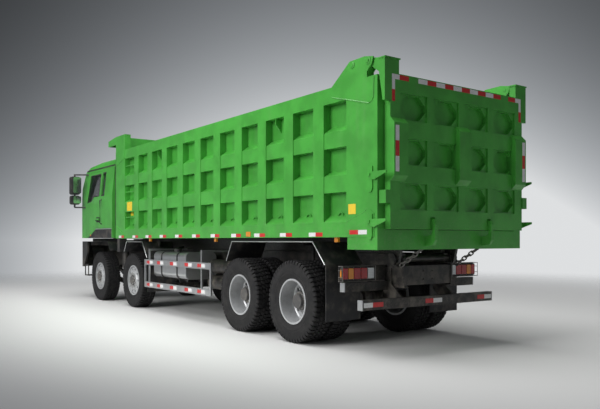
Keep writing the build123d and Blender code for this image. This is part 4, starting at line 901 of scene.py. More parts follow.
class TIPPER_OT_wheel_fittings(bpy.types.Operator):
    """Wheel nuts, hub covers with their bolts, and the valves"""

    bl_idname = "tipper.wheel_fittings"
    bl_label = "Wheel Fittings"

    def execute(self, context):
        for body, (tyre, rim, side) in WHEELS.items():
            centre, middles = tyre_place(tyre)
            cover, rows, reach = SINGLE_WHEEL if len(middles) == 1 else TWIN_WHEELS
            Shape().lathe(centre, cover, side, 40).piece(
                rim + "_hub", body, PAINTS["hub"], "wheel_silver", smooth=25.0)
            zinc = PAINTS["zinc"]
            meshes = []
            for count, radius, out, head, height in rows:
                nut = hexagon(head, side * height)
                nut.placed(Matrix.Translation((0, side * out, radius)))
                meshes.append(ring_mesh(nut, count, centre, zinc))
            mesh_piece(rim + "_nuts", join_meshes(rim, meshes), body, zinc, smooth=20.0)
            stem = [centre + Vector((x, side * (reach + out), 0)) for x, out in VALVE]
            Shape().tube(stem, 0.005, 8).piece(rim + "_valve", body, zinc, "wheel_silver")
        return {"FINISHED"}


def strip_piece(name, body, finish, slot, boxes, edge=0.0):
    """Thin strips, plates or blocks of one finish as one piece."""
    shape = Shape()
    for corner, opposite in boxes:
        shape.box(corner, opposite)
    shape.piece(name, body, PAINTS[finish], slot, edge)


def side_plate(side, face, proud, x0, x1, z0, z1):
    """Opposite corners of a flat block that stands proud of a face on one side of the truck."""
    return (x0, side * face, z0), (x1, side * (face + proud), z1)


TAPE = 0.0012            # thickness of the marking tape
TAPE_HALF = 0.140        # length of one colour in a pair on the bed
TAPE_HEIGHT = 0.050
SKIRT_TAPE = 1.392       # height of the skirt's tape
CORNER_TAPE = 1.414      # height of the tape at the rear corner
CORNER_PLATE = 0.480     # how far the front corner's plate reaches back
CORNER_PROUD = 0.005     # how far the corners' plates stand off the skirt
FRONT_PAIR, FIRST_PAIR, CORNER_PAIR = 2.464, 1.741, -4.880    # middles of pairs of tape


def tape_pair(ahead, behind, side, face, x, half, z, height):
    """Adds a strip ahead of x to one list, and a strip behind it to the other."""
    ahead.append(side_plate(side, face, TAPE, x, x + half, z, z + height))
    behind.append(side_plate(side, face, TAPE, x - half, x, z, z + height))


def bed_side_tapes(side):
    """White and red pairs along the skirt's lower edge: lists of white and of red strips."""
    white, red = [], []
    for x in [FRONT_PAIR] + [FIRST_PAIR - POST_PITCH * i for i in range(POSTS)]:
        face = BED_HALF + (CORNER_PROUD if x > BED_FRONT - CORNER_PLATE else 0.0)
        tape_pair(white, red, side, face, x, TAPE_HALF, SKIRT_TAPE, TAPE_HEIGHT)
    face = BED_HALF + CORNER_PROUD
    tape_pair(red, white, side, face, CORNER_PAIR, 0.155, CORNER_TAPE, TAPE_HEIGHT)
    return white, red


def guard_tapes(side):
    """Red and white pairs on the side guards' rails: lists of white and of red strips."""
    white, red = [], []
    for z in GUARD_RAILS:
        for x in (1.105, 0.633, 0.080, -0.500, -0.970):
            tape_pair(red, white, side, GUARD_FACE, x, 0.135, z, 0.058)
    return white, red


def tailgate_tapes():
    """White and red strips along the tailgate's top, down its sides and on its pads."""
    white, red = [], []
    x0, x1 = GATE_FACE - TAPE, GATE_FACE
    low, high = 3.125, 3.180
    step = 0.148
    for hand in (1, -1):
        for colour, y0, z0, y1, z1 in (
            # outer y and low z, inner y and high z
            (white, 1.150, low, 1.035, high), (red, 1.035, low, 0.890, high),
            (white, 1.150, 3.010, 1.105, low), (red, 1.150, 2.880, 1.105, 3.010),
        ):
            colour.append(((x0, hand * y0, z0), (x1, hand * y1, z1)))
        pad = x0 - PAD_PROUD
        for colour, z in ((white, 2.440), (red, 2.270), (white, 2.100)):
            colour.append(((pad, hand * 1.155, z), (pad + TAPE, hand * 1.100, z + 0.168)))
    for i in range(10):
        y = 0.740 - step * i
        (red if i % 2 else white).append(((x0, y, low), (x1, y - step, high)))
    return white, red


def bar_tapes():
    """White and red strips on the lower rear bar."""
    white, red = [], []
    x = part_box("rear_bars")[0].x
    for colour, start, end in (
        (white, 1.145, 1.005), (red, 1.005, 0.839), (red, 0.123, -0.017),
        (white, -0.017, -0.178), (red, -0.867, -1.010), (white, -1.010, -1.150),
    ):
        colour.append(((x - TAPE, start, 0.562), (x, end, 0.618)))
    return white, red


class TIPPER_OT_tapes(bpy.types.Operator):
    """Reflective marking tape on the bed, the tailgate, the side guards and the rear bar"""

    bl_idname = "tipper.tapes"
    bl_label = "Marking Tape"

    def execute(self, context):
        rows = []
        for label, side in SIDES:
            rows.append(("bed_tape_" + label, "bed", "bed_green", bed_side_tapes(side)))
            rows.append(("guard_tape_" + label, "chassis", "bright_aluminium", guard_tapes(side)))
        rows.append(("gate_tape", "tailgate", "bed_green", tailgate_tapes()))
        rows.append(("bar_tape", "chassis", "chassis_black", bar_tapes()))
        for name, body, slot, (white, red) in rows:
            strip_piece(name + "_white", body, "white_tape", slot, white)
            strip_piece(name + "_red", body, "red_tape", slot, red)
        return {"FINISHED"}


PLATE = 0.0025           # thickness of a blank plate
PLATE_EDGE = 0.0004      # rounding of its edges


class TIPPER_OT_plates(bpy.types.Operator):
    """Blank yellow plates and amber reflectors on the bed and the chassis"""

    bl_idname = "tipper.plates"
    bl_label = "Plates and Reflectors"

    def execute(self, context):
        for label, side in SIDES:
            strip_piece("plates_" + label, "bed", "yellow", "bed_green", (
                side_plate(side, 1.267, PLATE, 1.925, 2.185, 1.932, 2.108),
                side_plate(side, RECESS, PLATE, 2.100, 2.240, 1.838, 1.905),
                side_plate(side, BED_HALF, PLATE, -4.832, -4.703, 1.648, 1.764),
            ), PLATE_EDGE)
            strip_piece("side_reflector_" + label, "bed", "amber_lens", "amber_plastic", (
                side_plate(side, BED_HALF, 0.006, -2.548, -2.424, 1.398, 1.468),
            ), 0.002)
            strip_piece("axle_plate_" + label, "chassis", "yellow", "chassis_black", (
                side_plate(side, RAIL_FACE, PLATE, 3.560, 3.700, 0.830, 0.930),
            ), PLATE_EDGE)
        return {"FINISHED"}


REAR_LENSES = (
    # finish, inner y, outer y
    ("clear_lens", 0.702, 0.800), ("red_lens", 0.812, 0.910), ("red_lens", 0.922, 1.020),
    ("amber_lens", 1.032, 1.110), ("red_lens", 1.120, 1.193),
)
ROD = 0.004              # radius of the lamp guard's rods


class TIPPER_OT_rear_lamps(bpy.types.Operator):
    """Rear lamp clusters with their lenses, side lights, guard rods and the bars' end caps"""

    bl_idname = "tipper.rear_lamps"
    bl_label = "Rear Lamps"

    def execute(self, context):
        low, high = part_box("rear_lamps")
        back = low.x + 0.012
        housing, rods = Shape(), Shape()
        lenses = {"red_lens": Shape(), "amber_lens": Shape(), "clear_lens": Shape()}
        screws = []
        for side in (1, -1):
            outline = rounded_box(side, 0.690, 1.205, 0.865, 1.025, 0.018)
            housing.prism(outline, "x", back, high.x)
            for finish, y0, y1 in REAR_LENSES:
                outline = rounded_box(side, y0, y1, 0.880, 1.010, 0.012)
                lenses[finish].prism(outline, "x", low.x, back)
                screws += [(low.x + 0.011, side * (y0 - 0.005), z) for z in (0.874, 1.016)]
            lenses["amber_lens"].box(
                (back + 0.006, side * 1.204, 0.895), (high.x - 0.006, side * 1.212, 0.995))
            self.guard(rods, side, high.x + 0.010, low.x)
        housing.piece("lamp_housings", "chassis", PAINTS["plastic"], "dark_plastic", 0.003,
                      replaces=("rear_lamps",))
        for finish, shape in lenses.items():
            shape.piece("rear_" + finish, "chassis", PAINTS[finish], "red_plastic", 0.003)
        rods.piece("lamp_guard", "chassis", PAINTS["steel"], "chassis_black")
        bolt_piece("lamp_screws", hexagon(0.004, -0.003, "x"), screws, "zinc")
        bars = (
            # x of the rear face, low z, high z
            (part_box("rear_bars")[0].x, 0.529, 0.651), (AXLE_4 - 1.010, 0.724, 0.836),
        )
        caps = [((x - 0.001, side * 1.160, z0), (x + 0.081, side * 1.173, z1))
                for side in (1, -1) for x, z0, z1 in bars]
        strip_piece("bar_caps", "chassis", "bright", "bright_aluminium", caps, 0.002)
        return {"FINISHED"}

    def guard(self, rods, side, front, face):
        """Rods over, under and beside a lamp cluster, whose face they stand behind."""
        rear, inner, outer, beside = face - 0.022, side * 0.70, side * 1.222, side * 1.224
        for z in (0.852, 1.036):
            rods.tube([(front, inner, z), (rear, inner, z), (rear, outer, z), (front, outer, z)], ROD, 6)
        for z in (0.905, 0.985):
            rods.tube([(front, beside, z), (face - 0.012, beside, z)], ROD, 6)
        for y in (inner, outer):
            rods.tube([(rear, y, 0.850), (rear, y, 1.038)], ROD, 6)


def rounded(corners, radius, steps=4):
    """An outline of (a, b) corners, each turned into a short arc."""
    points = []
    count = len(corners)
    for i in range(count):
        corner = Vector(corners[i])
        to_last = (Vector(corners[i - 1]) - corner).normalized()
        to_next = (Vector(corners[(i + 1) % count]) - corner).normalized()
        turn = to_last.angle(to_next)
        reach = radius / max(0.2, abs(sin(turn / 2) / max(cos(turn / 2), 1e-3)))
        start, end = corner + to_last * reach, corner + to_next * reach
        for step in range(steps + 1):
            share = step / steps
            first = start.lerp(corner, share)
            second = corner.lerp(end, share)
            points.append(tuple(first.lerp(second, share)))
    return points


def rounded_box(side, y0, y1, z0, z1, radius):
    """A rectangle of (y, z) with round corners, on one side of the truck."""
    return on_side(side, rounded([(y0, z0), (y1, z0), (y1, z1), (y0, z1)], radius))


def on_side(side, outline):
    """An outline of (y, z) on one side of the truck."""
    return [(side * y, z) for y, z in outline]


# Profiles of a headlamp's bowl and of a fog lamp: (radius, distance ahead)
BOWL = ((0, 0.0), (0.052, 0.0), (0.056, 0.030), (0.052, 0.030), (0.030, 0.008), (0.012, 0.004),
        (0.012, 0.022), (0, 0.026))
FOG_LAMP = ((0, 0.0), (0.048, 0.0), (0.052, 0.041), (0.045, 0.043), (0.040, 0.036), (0, 0.040))


class TIPPER_OT_front_lamps(bpy.types.Operator):
    """Headlamps with their bowls, covers and turn lamps, and the fog lamps"""

    bl_idname = "tipper.front_lamps"
    bl_label = "Front Lamps"

    def execute(self, context):
        low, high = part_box("headlamps")
        back, front = low.x + 0.040, high.x - 0.004
        body, bowls, covers, turn, fog = Shape(), Shape(), Shape(), Shape(), Shape()
        for side in (1, -1):
            outer = on_side(side, rounded(
                [(0.640, 0.905), (0.905, 0.905), (0.965, 1.150), (0.670, 1.150)], 0.012))
            inner = on_side(side, rounded(
                [(0.652, 0.917), (0.897, 0.917), (0.951, 1.138), (0.681, 1.138)], 0.010))
            body.prism(outer, "x", low.x, low.x + 0.045)
            body.ring([[(x, y, z) for y, z in loop] for x, loop in (
                (back, outer), (front, outer), (front, inner), (back, inner))])
            for y in (0.735, 0.862):
                bowls.lathe((low.x + 0.046, side * y, 1.030), BOWL, 1, 32, "x")
            turn.box((low.x + 0.046, side * 0.69, 1.098), (low.x + 0.060, side * 0.93, 1.126))
            covers.prism(inner, "x", high.x - 0.008, high.x - 0.005)
            fog.lathe((NOSE - 0.046, side * 0.740, 0.830), FOG_LAMP, 1, 32, "x")
        body.piece("lamp_bodies", "chassis", PAINTS["plastic"], "dark_plastic", replaces=("headlamps",))
        bowls.piece("lamp_bowls", "chassis", PAINTS["mirror"], "clear_lamp")
        turn.piece("turn_lamps", "chassis", PAINTS["amber_lens"], "amber_plastic", 0.003)
        covers.piece("lamp_covers", "chassis", PAINTS["lamp_cover"], "clear_lamp")
        fog.piece("fog_lamps", "chassis", PAINTS["clear_lens"], "clear_lamp", smooth=25.0)
        return {"FINISHED"}


STRAPS = (0.105, 0.755)  # where the tank's straps start
STRAP_WIDTH = 0.048
FILLER = ((0, 0), (0.058, 0), (0.058, 0.028), (0.066, 0.030), (0.066, 0.058), (0.058, 0.066), (0, 0.068))


def tank_band(shape, x, width, proud):
    """A flat band round the fuel tank."""
    low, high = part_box("fuel_tank")
    loops = []
    for along, out in ((x, -0.001), (x, proud), (x + width, proud), (x + width, -0.001)):
        corners = [(low.y - out, low.z - out), (high.y + out, low.z - out),
                   (high.y + out, high.z + out), (low.y - out, high.z + out)]
        loops.append([(along, y, z) for y, z in rounded(corners, 0.095 + out, 8)])
    shape.ring(loops)


class TIPPER_OT_tank(bpy.types.Operator):
    """Fuel tank straps with their bolts, the filler, its pipe and the tank's seams"""

    bl_idname = "tipper.tank"
    bl_label = "Fuel Tank Fittings"

    def execute(self, context):
        low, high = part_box("fuel_tank")
        straps, seams = Shape(), Shape()
        middles = [x + STRAP_WIDTH / 2 for x in STRAPS]
        for x in STRAPS:
            tank_band(straps, x, STRAP_WIDTH, 0.005)
        for x in (low.x + 0.010, high.x - 0.022):
            tank_band(seams, x, 0.012, 0.003)
        for x in middles:
            straps.box((x - 0.018, high.y + 0.004, 0.86), (x + 0.018, high.y + 0.016, 0.94))
        straps.piece("tank_straps", "chassis", PAINTS["plastic"], "dark_plastic", 0.001)
        seams.piece("tank_seams", "chassis", PAINTS["bright"], "bright_aluminium")
        neck = Shape().lathe((0.45, 0.98, high.z - 0.01), FILLER, 1, 32, "z")
        neck.tube([(0.62, 0.93, high.z - 0.02), (0.62, 0.93, high.z + 0.030), (0.66, 0.89, high.z + 0.050),
                   (0.90, 0.66, high.z + 0.085)], 0.024, 12)
        neck.piece("tank_filler", "chassis", PAINTS["plastic"], "dark_plastic", smooth=30.0)
        bolts = [(x, high.y + 0.016, z) for x in middles for z in (0.875, 0.925)]
        bolt_piece("strap_bolts", hexagon(0.008, 0.007), bolts, "zinc")
        return {"FINISHED"}


EDGING = (
    # (x, z) points from a mudguard's front foot over its top to its rear foot
    ((AXLE_2 + 0.320, 1.120), (AXLE_2 + 0.190, 1.316), (AXLE_2 - 0.620, 1.316), (AXLE_2 - 0.850, 1.010)),
    ((AXLE_3 + 0.400, 1.030), (AXLE_3 + 0.230, 1.328), (AXLE_4 - 0.440, 1.328), (AXLE_4 - 0.690, 1.045)),
)
SCREENS = (
    # rear x, front x, inner y, top z of the screens over the front wheels
    (3.130, 5.240, 0.930, 1.387), (1.400, 2.740, 0.900, 1.372),
)


class TIPPER_OT_guard_edges(bpy.types.Operator):
    """Bright edging of the mudguards, screens above the front wheels and bolts of the side guards"""

    bl_idname = "tipper.guard_edges"
    bl_label = "Mudguard Edging"

    def execute(self, context):
        edging = Shape()
        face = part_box("mudguards")[1].y + 0.002
        for side in (1, -1):
            for points in EDGING:
                edging.tube([(x, side * face, z) for x, z in points], 0.008, 8)
        edging.piece("guard_edging", "chassis", PAINTS["bright"], "bright_aluminium")
        screens = [side_plate(side, y, 0.012, x0, x1, 1.230, z1)
                   for side in (1, -1) for x0, x1, y, z1 in SCREENS]
        strip_piece("arch_screens", "chassis", "plastic", "dark_plastic", screens, 0.002)
        for label, side in SIDES:
            spots = [(x, side * GUARD_FACE, z + rise)
                     for x in (-0.914, 1.206) for z in GUARD_RAILS for rise in (0.0, 0.055)]
            bolt = hexagon(0.010, side * 0.007)
            bolt_piece("guard_bolts_" + label, bolt, spots, "zinc")
        return {"FINISHED"}


CHAIN_Y = 0.505
LINKS = 6
FIRST_LINK = 0.048       # from the shackle's pin to the middle of the first link
LINK_PITCH = 0.064
LINK_ROUND = 0.0225      # radius of a link's ends, to the middle of its wire
LINK_STRAIGHT = 0.0165   # half the length of its straight sides
LINK_WIRE = 0.009        # radius of its wire


class TIPPER_OT_chains(bpy.types.Operator):
    """Round-wire chain links and their shackles"""

    bl_idname = "tipper.chains"
    bl_label = "Chains"

    def execute(self, context):
        start = Vector((BED_REAR + 0.082, CHAIN_Y, 1.236))
        run = (Vector((BED_REAR + 0.420, CHAIN_Y, 1.035)) - start).normalized()
        upright = Vector((0, 1, 0))
        links = Shape()
        for side in (1, -1):
            for index in range(LINKS):
                middle = start + run * (FIRST_LINK + index * LINK_PITCH)
                middle.y *= side
                flat = run.cross(upright) if index % 2 else upright
                path = []
                for a, b in circle(LINK_ROUND, 24):
                    along = a + (LINK_STRAIGHT if a > 0 else -LINK_STRAIGHT)
                    path.append(middle + run * along + flat * b)
                links.closed_tube(path, LINK_WIRE, 8)
            x, y, z = start.x, side * CHAIN_Y, start.z
            links.tube([(x, y - 0.034, z + 0.008), (x, y + 0.034, z + 0.008)], 0.010, 10)
            shackle = ((x - 0.018, z - 0.014), (x + 0.024, z - 0.014), (x + 0.024, z + 0.068),
                       (x - 0.018, z + 0.068))
            links.prism(shackle, "y", y - 0.008, y + 0.008)
        links.piece("chain_links", "bed", PAINTS["steel"], "chain_steel", smooth=60.0,
                    replaces=("lift_chains",))
        return {"FINISHED"}


WELDS = (
    # (x past the rear axle, z) points of each weld on the bed's side
    ((-0.903, 3.055), (-1.560, 2.881)), ((-1.637, 2.930), (-1.645, 3.165)),
    ((-1.170, 1.561), (-1.512, 1.680)), ((-1.645, 1.650), (-1.645, 1.384)),
    ((5.801, 3.007), (6.278, 2.879)), ((5.801, 1.440), (6.060, 1.560), (6.278, 1.640)),
)
# Profiles of the washers: (radius, distance out)
HINGE_WASHER = ((0, 0), (0.045, 0), (0.045, 0.006), (0.024, 0.008), (0.024, 0.015), (0, 0.016))
ARM_WASHER = ((0, 0), (0.042, 0), (0.042, 0.006), (0.028, 0.008), (0.026, 0.013), (0, 0.014))


class TIPPER_OT_bed_fittings(bpy.types.Operator):
    """Weld beads on the bed's sides and the washers of the tailgate's hinges"""

    bl_idname = "tipper.bed_fittings"
    bl_label = "Bed Fittings"

    def execute(self, context):
        beads = Shape()
        for side in (1, -1):
            for path in WELDS:
                beads.tube([(AXLE_4 + x, side * (BED_HALF + 0.003), z) for x, z in path], 0.006, 6)
            for index in range(POSTS):
                post = FIRST_POST + index * POST_PITCH
                for x in (post, post + POST_WIDTH):
                    beads.tube([(x, side * (BED_HALF + 0.0008), 1.562), (x, side * (RECESS + 0.002), 1.650)],
                               0.004, 5)
        beads.piece("weld_beads", "bed", PAINTS["body_green"], "bed_green")
        washers = Shape()
        pin = joint_place("gate_swing")
        for side in (1, -1):
            for x, z, profile in ((pin.x, pin.z, HINGE_WASHER), (AXLE_4 - 1.271, pin.z + 0.007, ARM_WASHER)):
                washers.lathe((x, side * 1.271, z), profile, side, 28)
        washers.piece("hinge_washers", "bed", PAINTS["body_green"], "bed_green", smooth=25.0)
        return {"FINISHED"}


def leaned(z):
    """Half width of the cab's side at a height: upright to the belt, leaning in above."""
    return CAB_HALF - max(0.0, z - BELT) * LEAN


def side_ring(shape, outline, side, width, proud):
    """A flat frame round an outline of (x, z) on the cab's side, which it follows."""
    middle = sum((Vector(point) for point in outline), Vector((0, 0))) / len(outline)
    inner = []
    for point in outline:
        point = Vector(point)
        inner.append(point + (middle - point).normalized() * width)
    shape.ring([
        [(x, side * (leaned(z) + out), z) for x, z in loop]
        for loop, out in ((outline, -0.004), (outline, proud), (inner, proud), (inner, -0.004))
    ])


# Outlines of (x, z) on the cab's side
DOOR_WINDOW = ((DOOR_REAR + 0.062, 2.318), (DOOR_REAR + 0.062, 2.828), (DOOR_FRONT - 0.193, 2.828),
               (DOOR_FRONT - 0.070, 2.195), (DOOR_FRONT - 0.335, 2.222), (DOOR_FRONT - 0.525, 2.318))
QUARTER_WINDOW = ((DOOR_REAR - 0.252, 2.318), (DOOR_REAR - 0.252, 2.842), (DOOR_REAR - 0.048, 2.842),
                  (DOOR_REAR - 0.048, 2.318))
# Section of the drip strip: (y, z) about its middle
DRIP_STRIP = ((-0.004, -0.018), (0.008, -0.014), (0.004, 0.014), (-0.008, 0.018))
# Door handle: (x past the door's rear edge, distance out, z)
HANDLE = ((0.085, 0.002, 1.775), (0.085, 0.030, 1.785), (0.225, 0.030, 1.785), (0.225, 0.002, 1.775))
# Grab rail: (y, z)
GRAB_RAIL = ((CAB_HALF - 0.002, 1.70), (1.285, 1.72), (1.285, 2.22), (CAB_HALF - 0.002, 2.24))
# Mirror glass: inner y, outer y, low z, high z
MIRRORS = ((1.365, 1.545, 2.43, 2.80), (1.368, 1.542, 2.198, 2.362))
# Section of the sun visor: (x, z)
VISOR = ((4.944, 2.9364), (4.900, 2.9730), (5.080, 2.935), (5.135, 2.905), (5.128, 2.894), (5.060, 2.915))
VISOR_BRACKET = ((4.944, 2.9364), (5.030, 2.925), (4.975, 2.870))


class TIPPER_OT_cab_trim(bpy.types.Operator):
    """Window rubbers, drip strips, visor, wipers, mirror glass, handles, grab rails and side lights"""

    bl_idname = "tipper.cab_trim"
    bl_label = "Cab Trim"

    def execute(self, context):
        plastic = PAINTS["plastic"]
        for label, side in SIDES:
            rubber = Shape()
            side_ring(rubber, DOOR_WINDOW, side, 0.026, 0.004)
            rubber.piece("door_rubber_" + label, "door_" + label, plastic, "dark_plastic")
            rubber = Shape()
            side_ring(rubber, QUARTER_WINDOW, side, 0.030, 0.004)
            rubber.prism([(side * (1.1785 + y), 2.952 + z) for y, z in DRIP_STRIP],
                         "x", CAB_REAR + 0.015, 4.90)
            rubber.piece("cab_rubber_" + label, "cab", plastic, "dark_plastic")
            strip_piece("arch_strip_" + label, "cab", "bright", "bright_aluminium", (
                side_plate(side, 1.2445, 0.0035, CAB_REAR + 0.030, 4.150, 1.586, 1.604),
            ), 0.001)
            strip_piece("cab_marker_" + label, "cab", "amber_lens", "amber_plastic", (
                side_plate(side, 1.2425, 0.0055, 4.460, 4.520, 1.440, 1.470),
            ), 0.002)
            handle = Shape()
            handle.tube([(DOOR_REAR + x, side * (CAB_HALF + out), z) for x, out, z in HANDLE], 0.008, 8)
            handle.box(*side_plate(side, CAB_HALF - 0.001, 0.003, DOOR_REAR + 0.060, DOOR_REAR + 0.250,
                                   1.745, 1.860))
            handle.piece("door_handle_" + label, "door_" + label, plastic, "dark_plastic", 0.001)
            rail = Shape().tube([(DOOR_REAR - 0.10, side * y, z) for y, z in GRAB_RAIL], 0.013, 12)
            rail.piece("grab_rail_" + label, "cab", plastic, "dark_plastic")
        self.mirror_faces()
        self.front()
        return {"FINISHED"}

    def mirror_faces(self):
        """Mirror glass, set a little into the rear face of each housing."""
        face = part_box("mirrors")[0].x
        glass = Shape()
        for side in (1, -1):
            for y0, y1, z0, z1 in MIRRORS:
                outline = rounded_box(side, y0, y1, z0, z1, 0.035)
                glass.prism(outline, "x", face - 0.002, face + 0.004)
        glass.piece("mirror_glass", "cab", PAINTS["mirror"], "clear_lamp")

    def front(self):
        """Wipers on the windscreen's slope, and the visor above it."""
        foot, head = Vector((5.344, 0, 2.12)), Vector((4.964, 0, 2.92))
        slope = (head - foot).normalized()
        out = Vector((slope.z, 0, -slope.x))
        wipers = Shape()
        for y in (-0.62, 0.28):
            pivot = foot + slope * 0.035 + out * 0.004 + Vector((0, y, 0))
            tip = foot + slope * 0.115 + out * 0.012 + Vector((0, y + 0.62, 0))
            wipers.tube([pivot, pivot + out * 0.012, tip], 0.007, 8)
            inner = tip + Vector((0, -0.36, 0)) - slope * 0.02
            outer = tip + Vector((0, 0.20, 0)) + slope * 0.012
            wipers.tube([inner, tip, outer], 0.006, 6)
        wipers.piece("wipers", "cab", PAINTS["plastic"], "dark_plastic")
        visor = Shape().prism(VISOR, "y", -1.0, 1.0)
        for y in (-0.8, 0.0, 0.8):
            visor.prism(VISOR_BRACKET, "y", y - 0.01, y + 0.01)
        visor.piece("sun_visor", "cab", PAINTS["smoke"], "dark_plastic", 0.002)


PULL = 0.035             # how far a pad's sides are pulled in, as a share of its half size
CHANNEL = 0.05           # width of a sewn channel, as a share of the half size
SIDE_CHANNELS = (-0.72, 0.72)


def channels_at(place, channels, depth):
    """Depth of the sewn channels at a place across them, as a share of the pad's height."""
    return sum(depth * pow(E, -((place - share) / CHANNEL) ** 2) for share in channels)


def cushion(size, crown, channels=(), steps=22):
    """A crowned closed pad about the origin: flat below, full above, its sides pulled in between the
    corners, with sewn channels across it at the given shares of its length."""
    length, width, height = size
    bm = bmesh.new()
    top, low = {}, {}
    for i in range(steps + 1):
        for j in range(steps + 1):
            u, v = 2 * i / steps - 1, 2 * j / steps - 1
            full = ((1 - abs(u) ** 4) * (1 - abs(v) ** 4)) ** 0.32
            x = u * length / 2 * (1 - PULL * (1 - v * v))
            y = v * width / 2 * (1 - PULL * (1 - u * u))
            groove = channels_at(u, channels, 0.16) + channels_at(v, SIDE_CHANNELS, 0.12)
            rise = height * full * (0.75 + crown * (1 - u * u) * (1 - v * v)) * (1 - groove)
            edge = i in (0, steps) or j in (0, steps)
            top[i, j] = bm.verts.new((x, y, 0.0 if edge else rise))
            low[i, j] = top[i, j] if edge else bm.verts.new((x, y, -0.22 * height * full))
    for i in range(steps):
        for j in range(steps):
            for grid in (top, low):
                corners = [grid[i, j], grid[i + 1, j], grid[i + 1, j + 1], grid[i, j + 1]]
                if grid is top or any(c not in top.values() for c in corners):
                    bm.faces.new(corners)
    shape = Shape()
    shape.bm.free()
    shape.bm = bm
    return shape


SEAT_X = CAB_REAR + 0.720
SEAT_Y = 0.62
SEAT_PADS = (
    # part, (length, width, height), crown, channels, way ahead of SEAT_X, way above the floor, turn
    ("cushion", (0.50, 0.49, 0.105), 0.25, (-0.35, 0.25), 0.025, 0.365, -0.05),
    ("back", (0.58, 0.46, 0.085), 0.2, (-0.5, -0.1, 0.35), -0.205, 0.72, pi / 2 - 0.16),
    ("headrest", (0.15, 0.24, 0.065), 0.25, (), -0.290, 1.125, pi / 2),
)
SEAT_FOOT = CAB_FLOOR + 0.002
SEAT_SHELLS = (
    # half width, (way ahead of SEAT_X, way above the floor) points
    (0.235, ((-0.240, 0.300), (0.280, 0.300), (0.290, 0.345), (-0.240, 0.345))),
    (0.210, ((-0.215, 0.400), (-0.185, 0.400), (-0.275, 1.030), (-0.305, 1.030))),
)
DASH_X = 5.299
DASH_FOOT = CAB_FLOOR + 0.002
DASH = (
    # (x past DASH_X, z) points
    (-0.092, DASH_FOOT), (-0.092, 2.078), (-0.240, 2.108), (-0.400, 2.075), (-0.517, 2.008),
    (-0.517, 1.850), (-0.302, 1.700), (-0.262, DASH_FOOT),
)
DASH_PANELS = (
    # right y, left y, low z, high z
    (0.42, 0.82, 1.90, 1.985), (-0.28, 0.30, 1.88, 1.985), (-0.95, -0.42, 1.88, 1.98),
)
WHEEL_RIM = 0.210        # radius of the steering wheel, to the middle of its rim
WHEEL_BOSS = ((0, -0.03), (0.055, -0.03), (0.062, 0.0), (0.05, 0.012), (0, 0.016))


class TIPPER_OT_cab_inside(bpy.types.Operator):
    """Seats, dashboard and steering wheel that show through the windows"""

    bl_idname = "tipper.cab_inside"
    bl_label = "Cab Inside"

    def execute(self, context):
        for label, y in (("left", SEAT_Y), ("right", -SEAT_Y)):
            for part, size, crown, channels, x, z, turn in SEAT_PADS:
                place = Matrix.Translation((SEAT_X + x, y, CAB_FLOOR + z)) @ Matrix.Rotation(turn, 4, "Y")
                piece = cushion(size, crown, channels).placed(place).piece(
                    "seat_" + part + "_" + label, "cab", PAINTS["cloth"], "cab_plastic", smooth=180.0)
        shell = Shape()
        for y in (SEAT_Y, -SEAT_Y):
            shell.box((SEAT_X - 0.17, y - 0.20, SEAT_FOOT), (SEAT_X + 0.20, y + 0.20, CAB_FLOOR + 0.30))
            for half, outline in SEAT_SHELLS:
                shell.prism([(SEAT_X + x, CAB_FLOOR + z) for x, z in outline], "y", y - half, y + half)
            for across in (-0.06, 0.06):
                shell.tube([(SEAT_X - 0.285, y + across, CAB_FLOOR + 0.98),
                            (SEAT_X - 0.290, y + across, CAB_FLOOR + 1.09)], 0.006, 8)
        shell.piece("seat_shells", "cab", PAINTS["cabin"], "cab_plastic", 0.008, replaces=("cab_interior",))
        dash = Shape().prism([(DASH_X + x, z) for x, z in DASH], "y", -1.058, 1.058)
        for y0, y1, z0, z1 in DASH_PANELS:
            dash.box((DASH_X - 0.526, y0, z0), (DASH_X - 0.512, y1, z1))
        dash.piece("dashboard", "cab", PAINTS["cabin"], "cab_plastic", 0.010)
        self.steering_wheel()
        return {"FINISHED"}

    def steering_wheel(self):
        """Rim, boss, spokes and column, leaning towards the seat."""
        lean = Vector((-0.62, 0, 0.78)).normalized()
        hub = Vector((DASH_X - 0.593, SEAT_Y, 2.077)) + lean * 0.012
        turn = lean.to_track_quat("Z", "Y").to_matrix().to_4x4()
        wheel = Shape()
        wheel.lathe((0, 0, 0), [(WHEEL_RIM + a, b) for a, b in circle(0.0145, 10)], 1, 48, "z")
        wheel.lathe((0, 0, 0), WHEEL_BOSS, 1, 32, "z")
        for angle in (0.35, pi - 0.35, -pi / 2):
            wheel.tube([(0.05 * cos(angle), 0.05 * sin(angle), -0.006),
                        (0.208 * cos(angle), 0.208 * sin(angle), 0.0)], 0.011, 10)
        wheel.placed(Matrix.Translation(hub) @ turn)
        wheel.tube([hub - lean * 0.02, hub - lean * 0.19], 0.028, 16)
        wheel.piece("steering_wheel", "cab", PAINTS["cabin"], "cab_plastic", smooth=40.0)


BOGIE = AXLE_4 + 0.675   # midway between the rear axles
BOLT_ROWS = (AXLE_4 - 1.200, AXLE_4 - 0.600, BOGIE, AXLE_4 + 2.450, AXLE_4 + 3.850, 1.456, 2.942)
CLAMPS = (
    # x, inner y, outer y, low z, top z and radius of each spring clamp
    *[(axle + across, 0.380, 0.480, 0.400, 0.572, 0.010)
      for axle in (AXLE_1, AXLE_2) for across in (-0.075, 0.075)],
    *[(BOGIE + across, 0.440, 0.545, 0.600, 0.802, 0.012) for across in (-0.070, 0.070)],
)


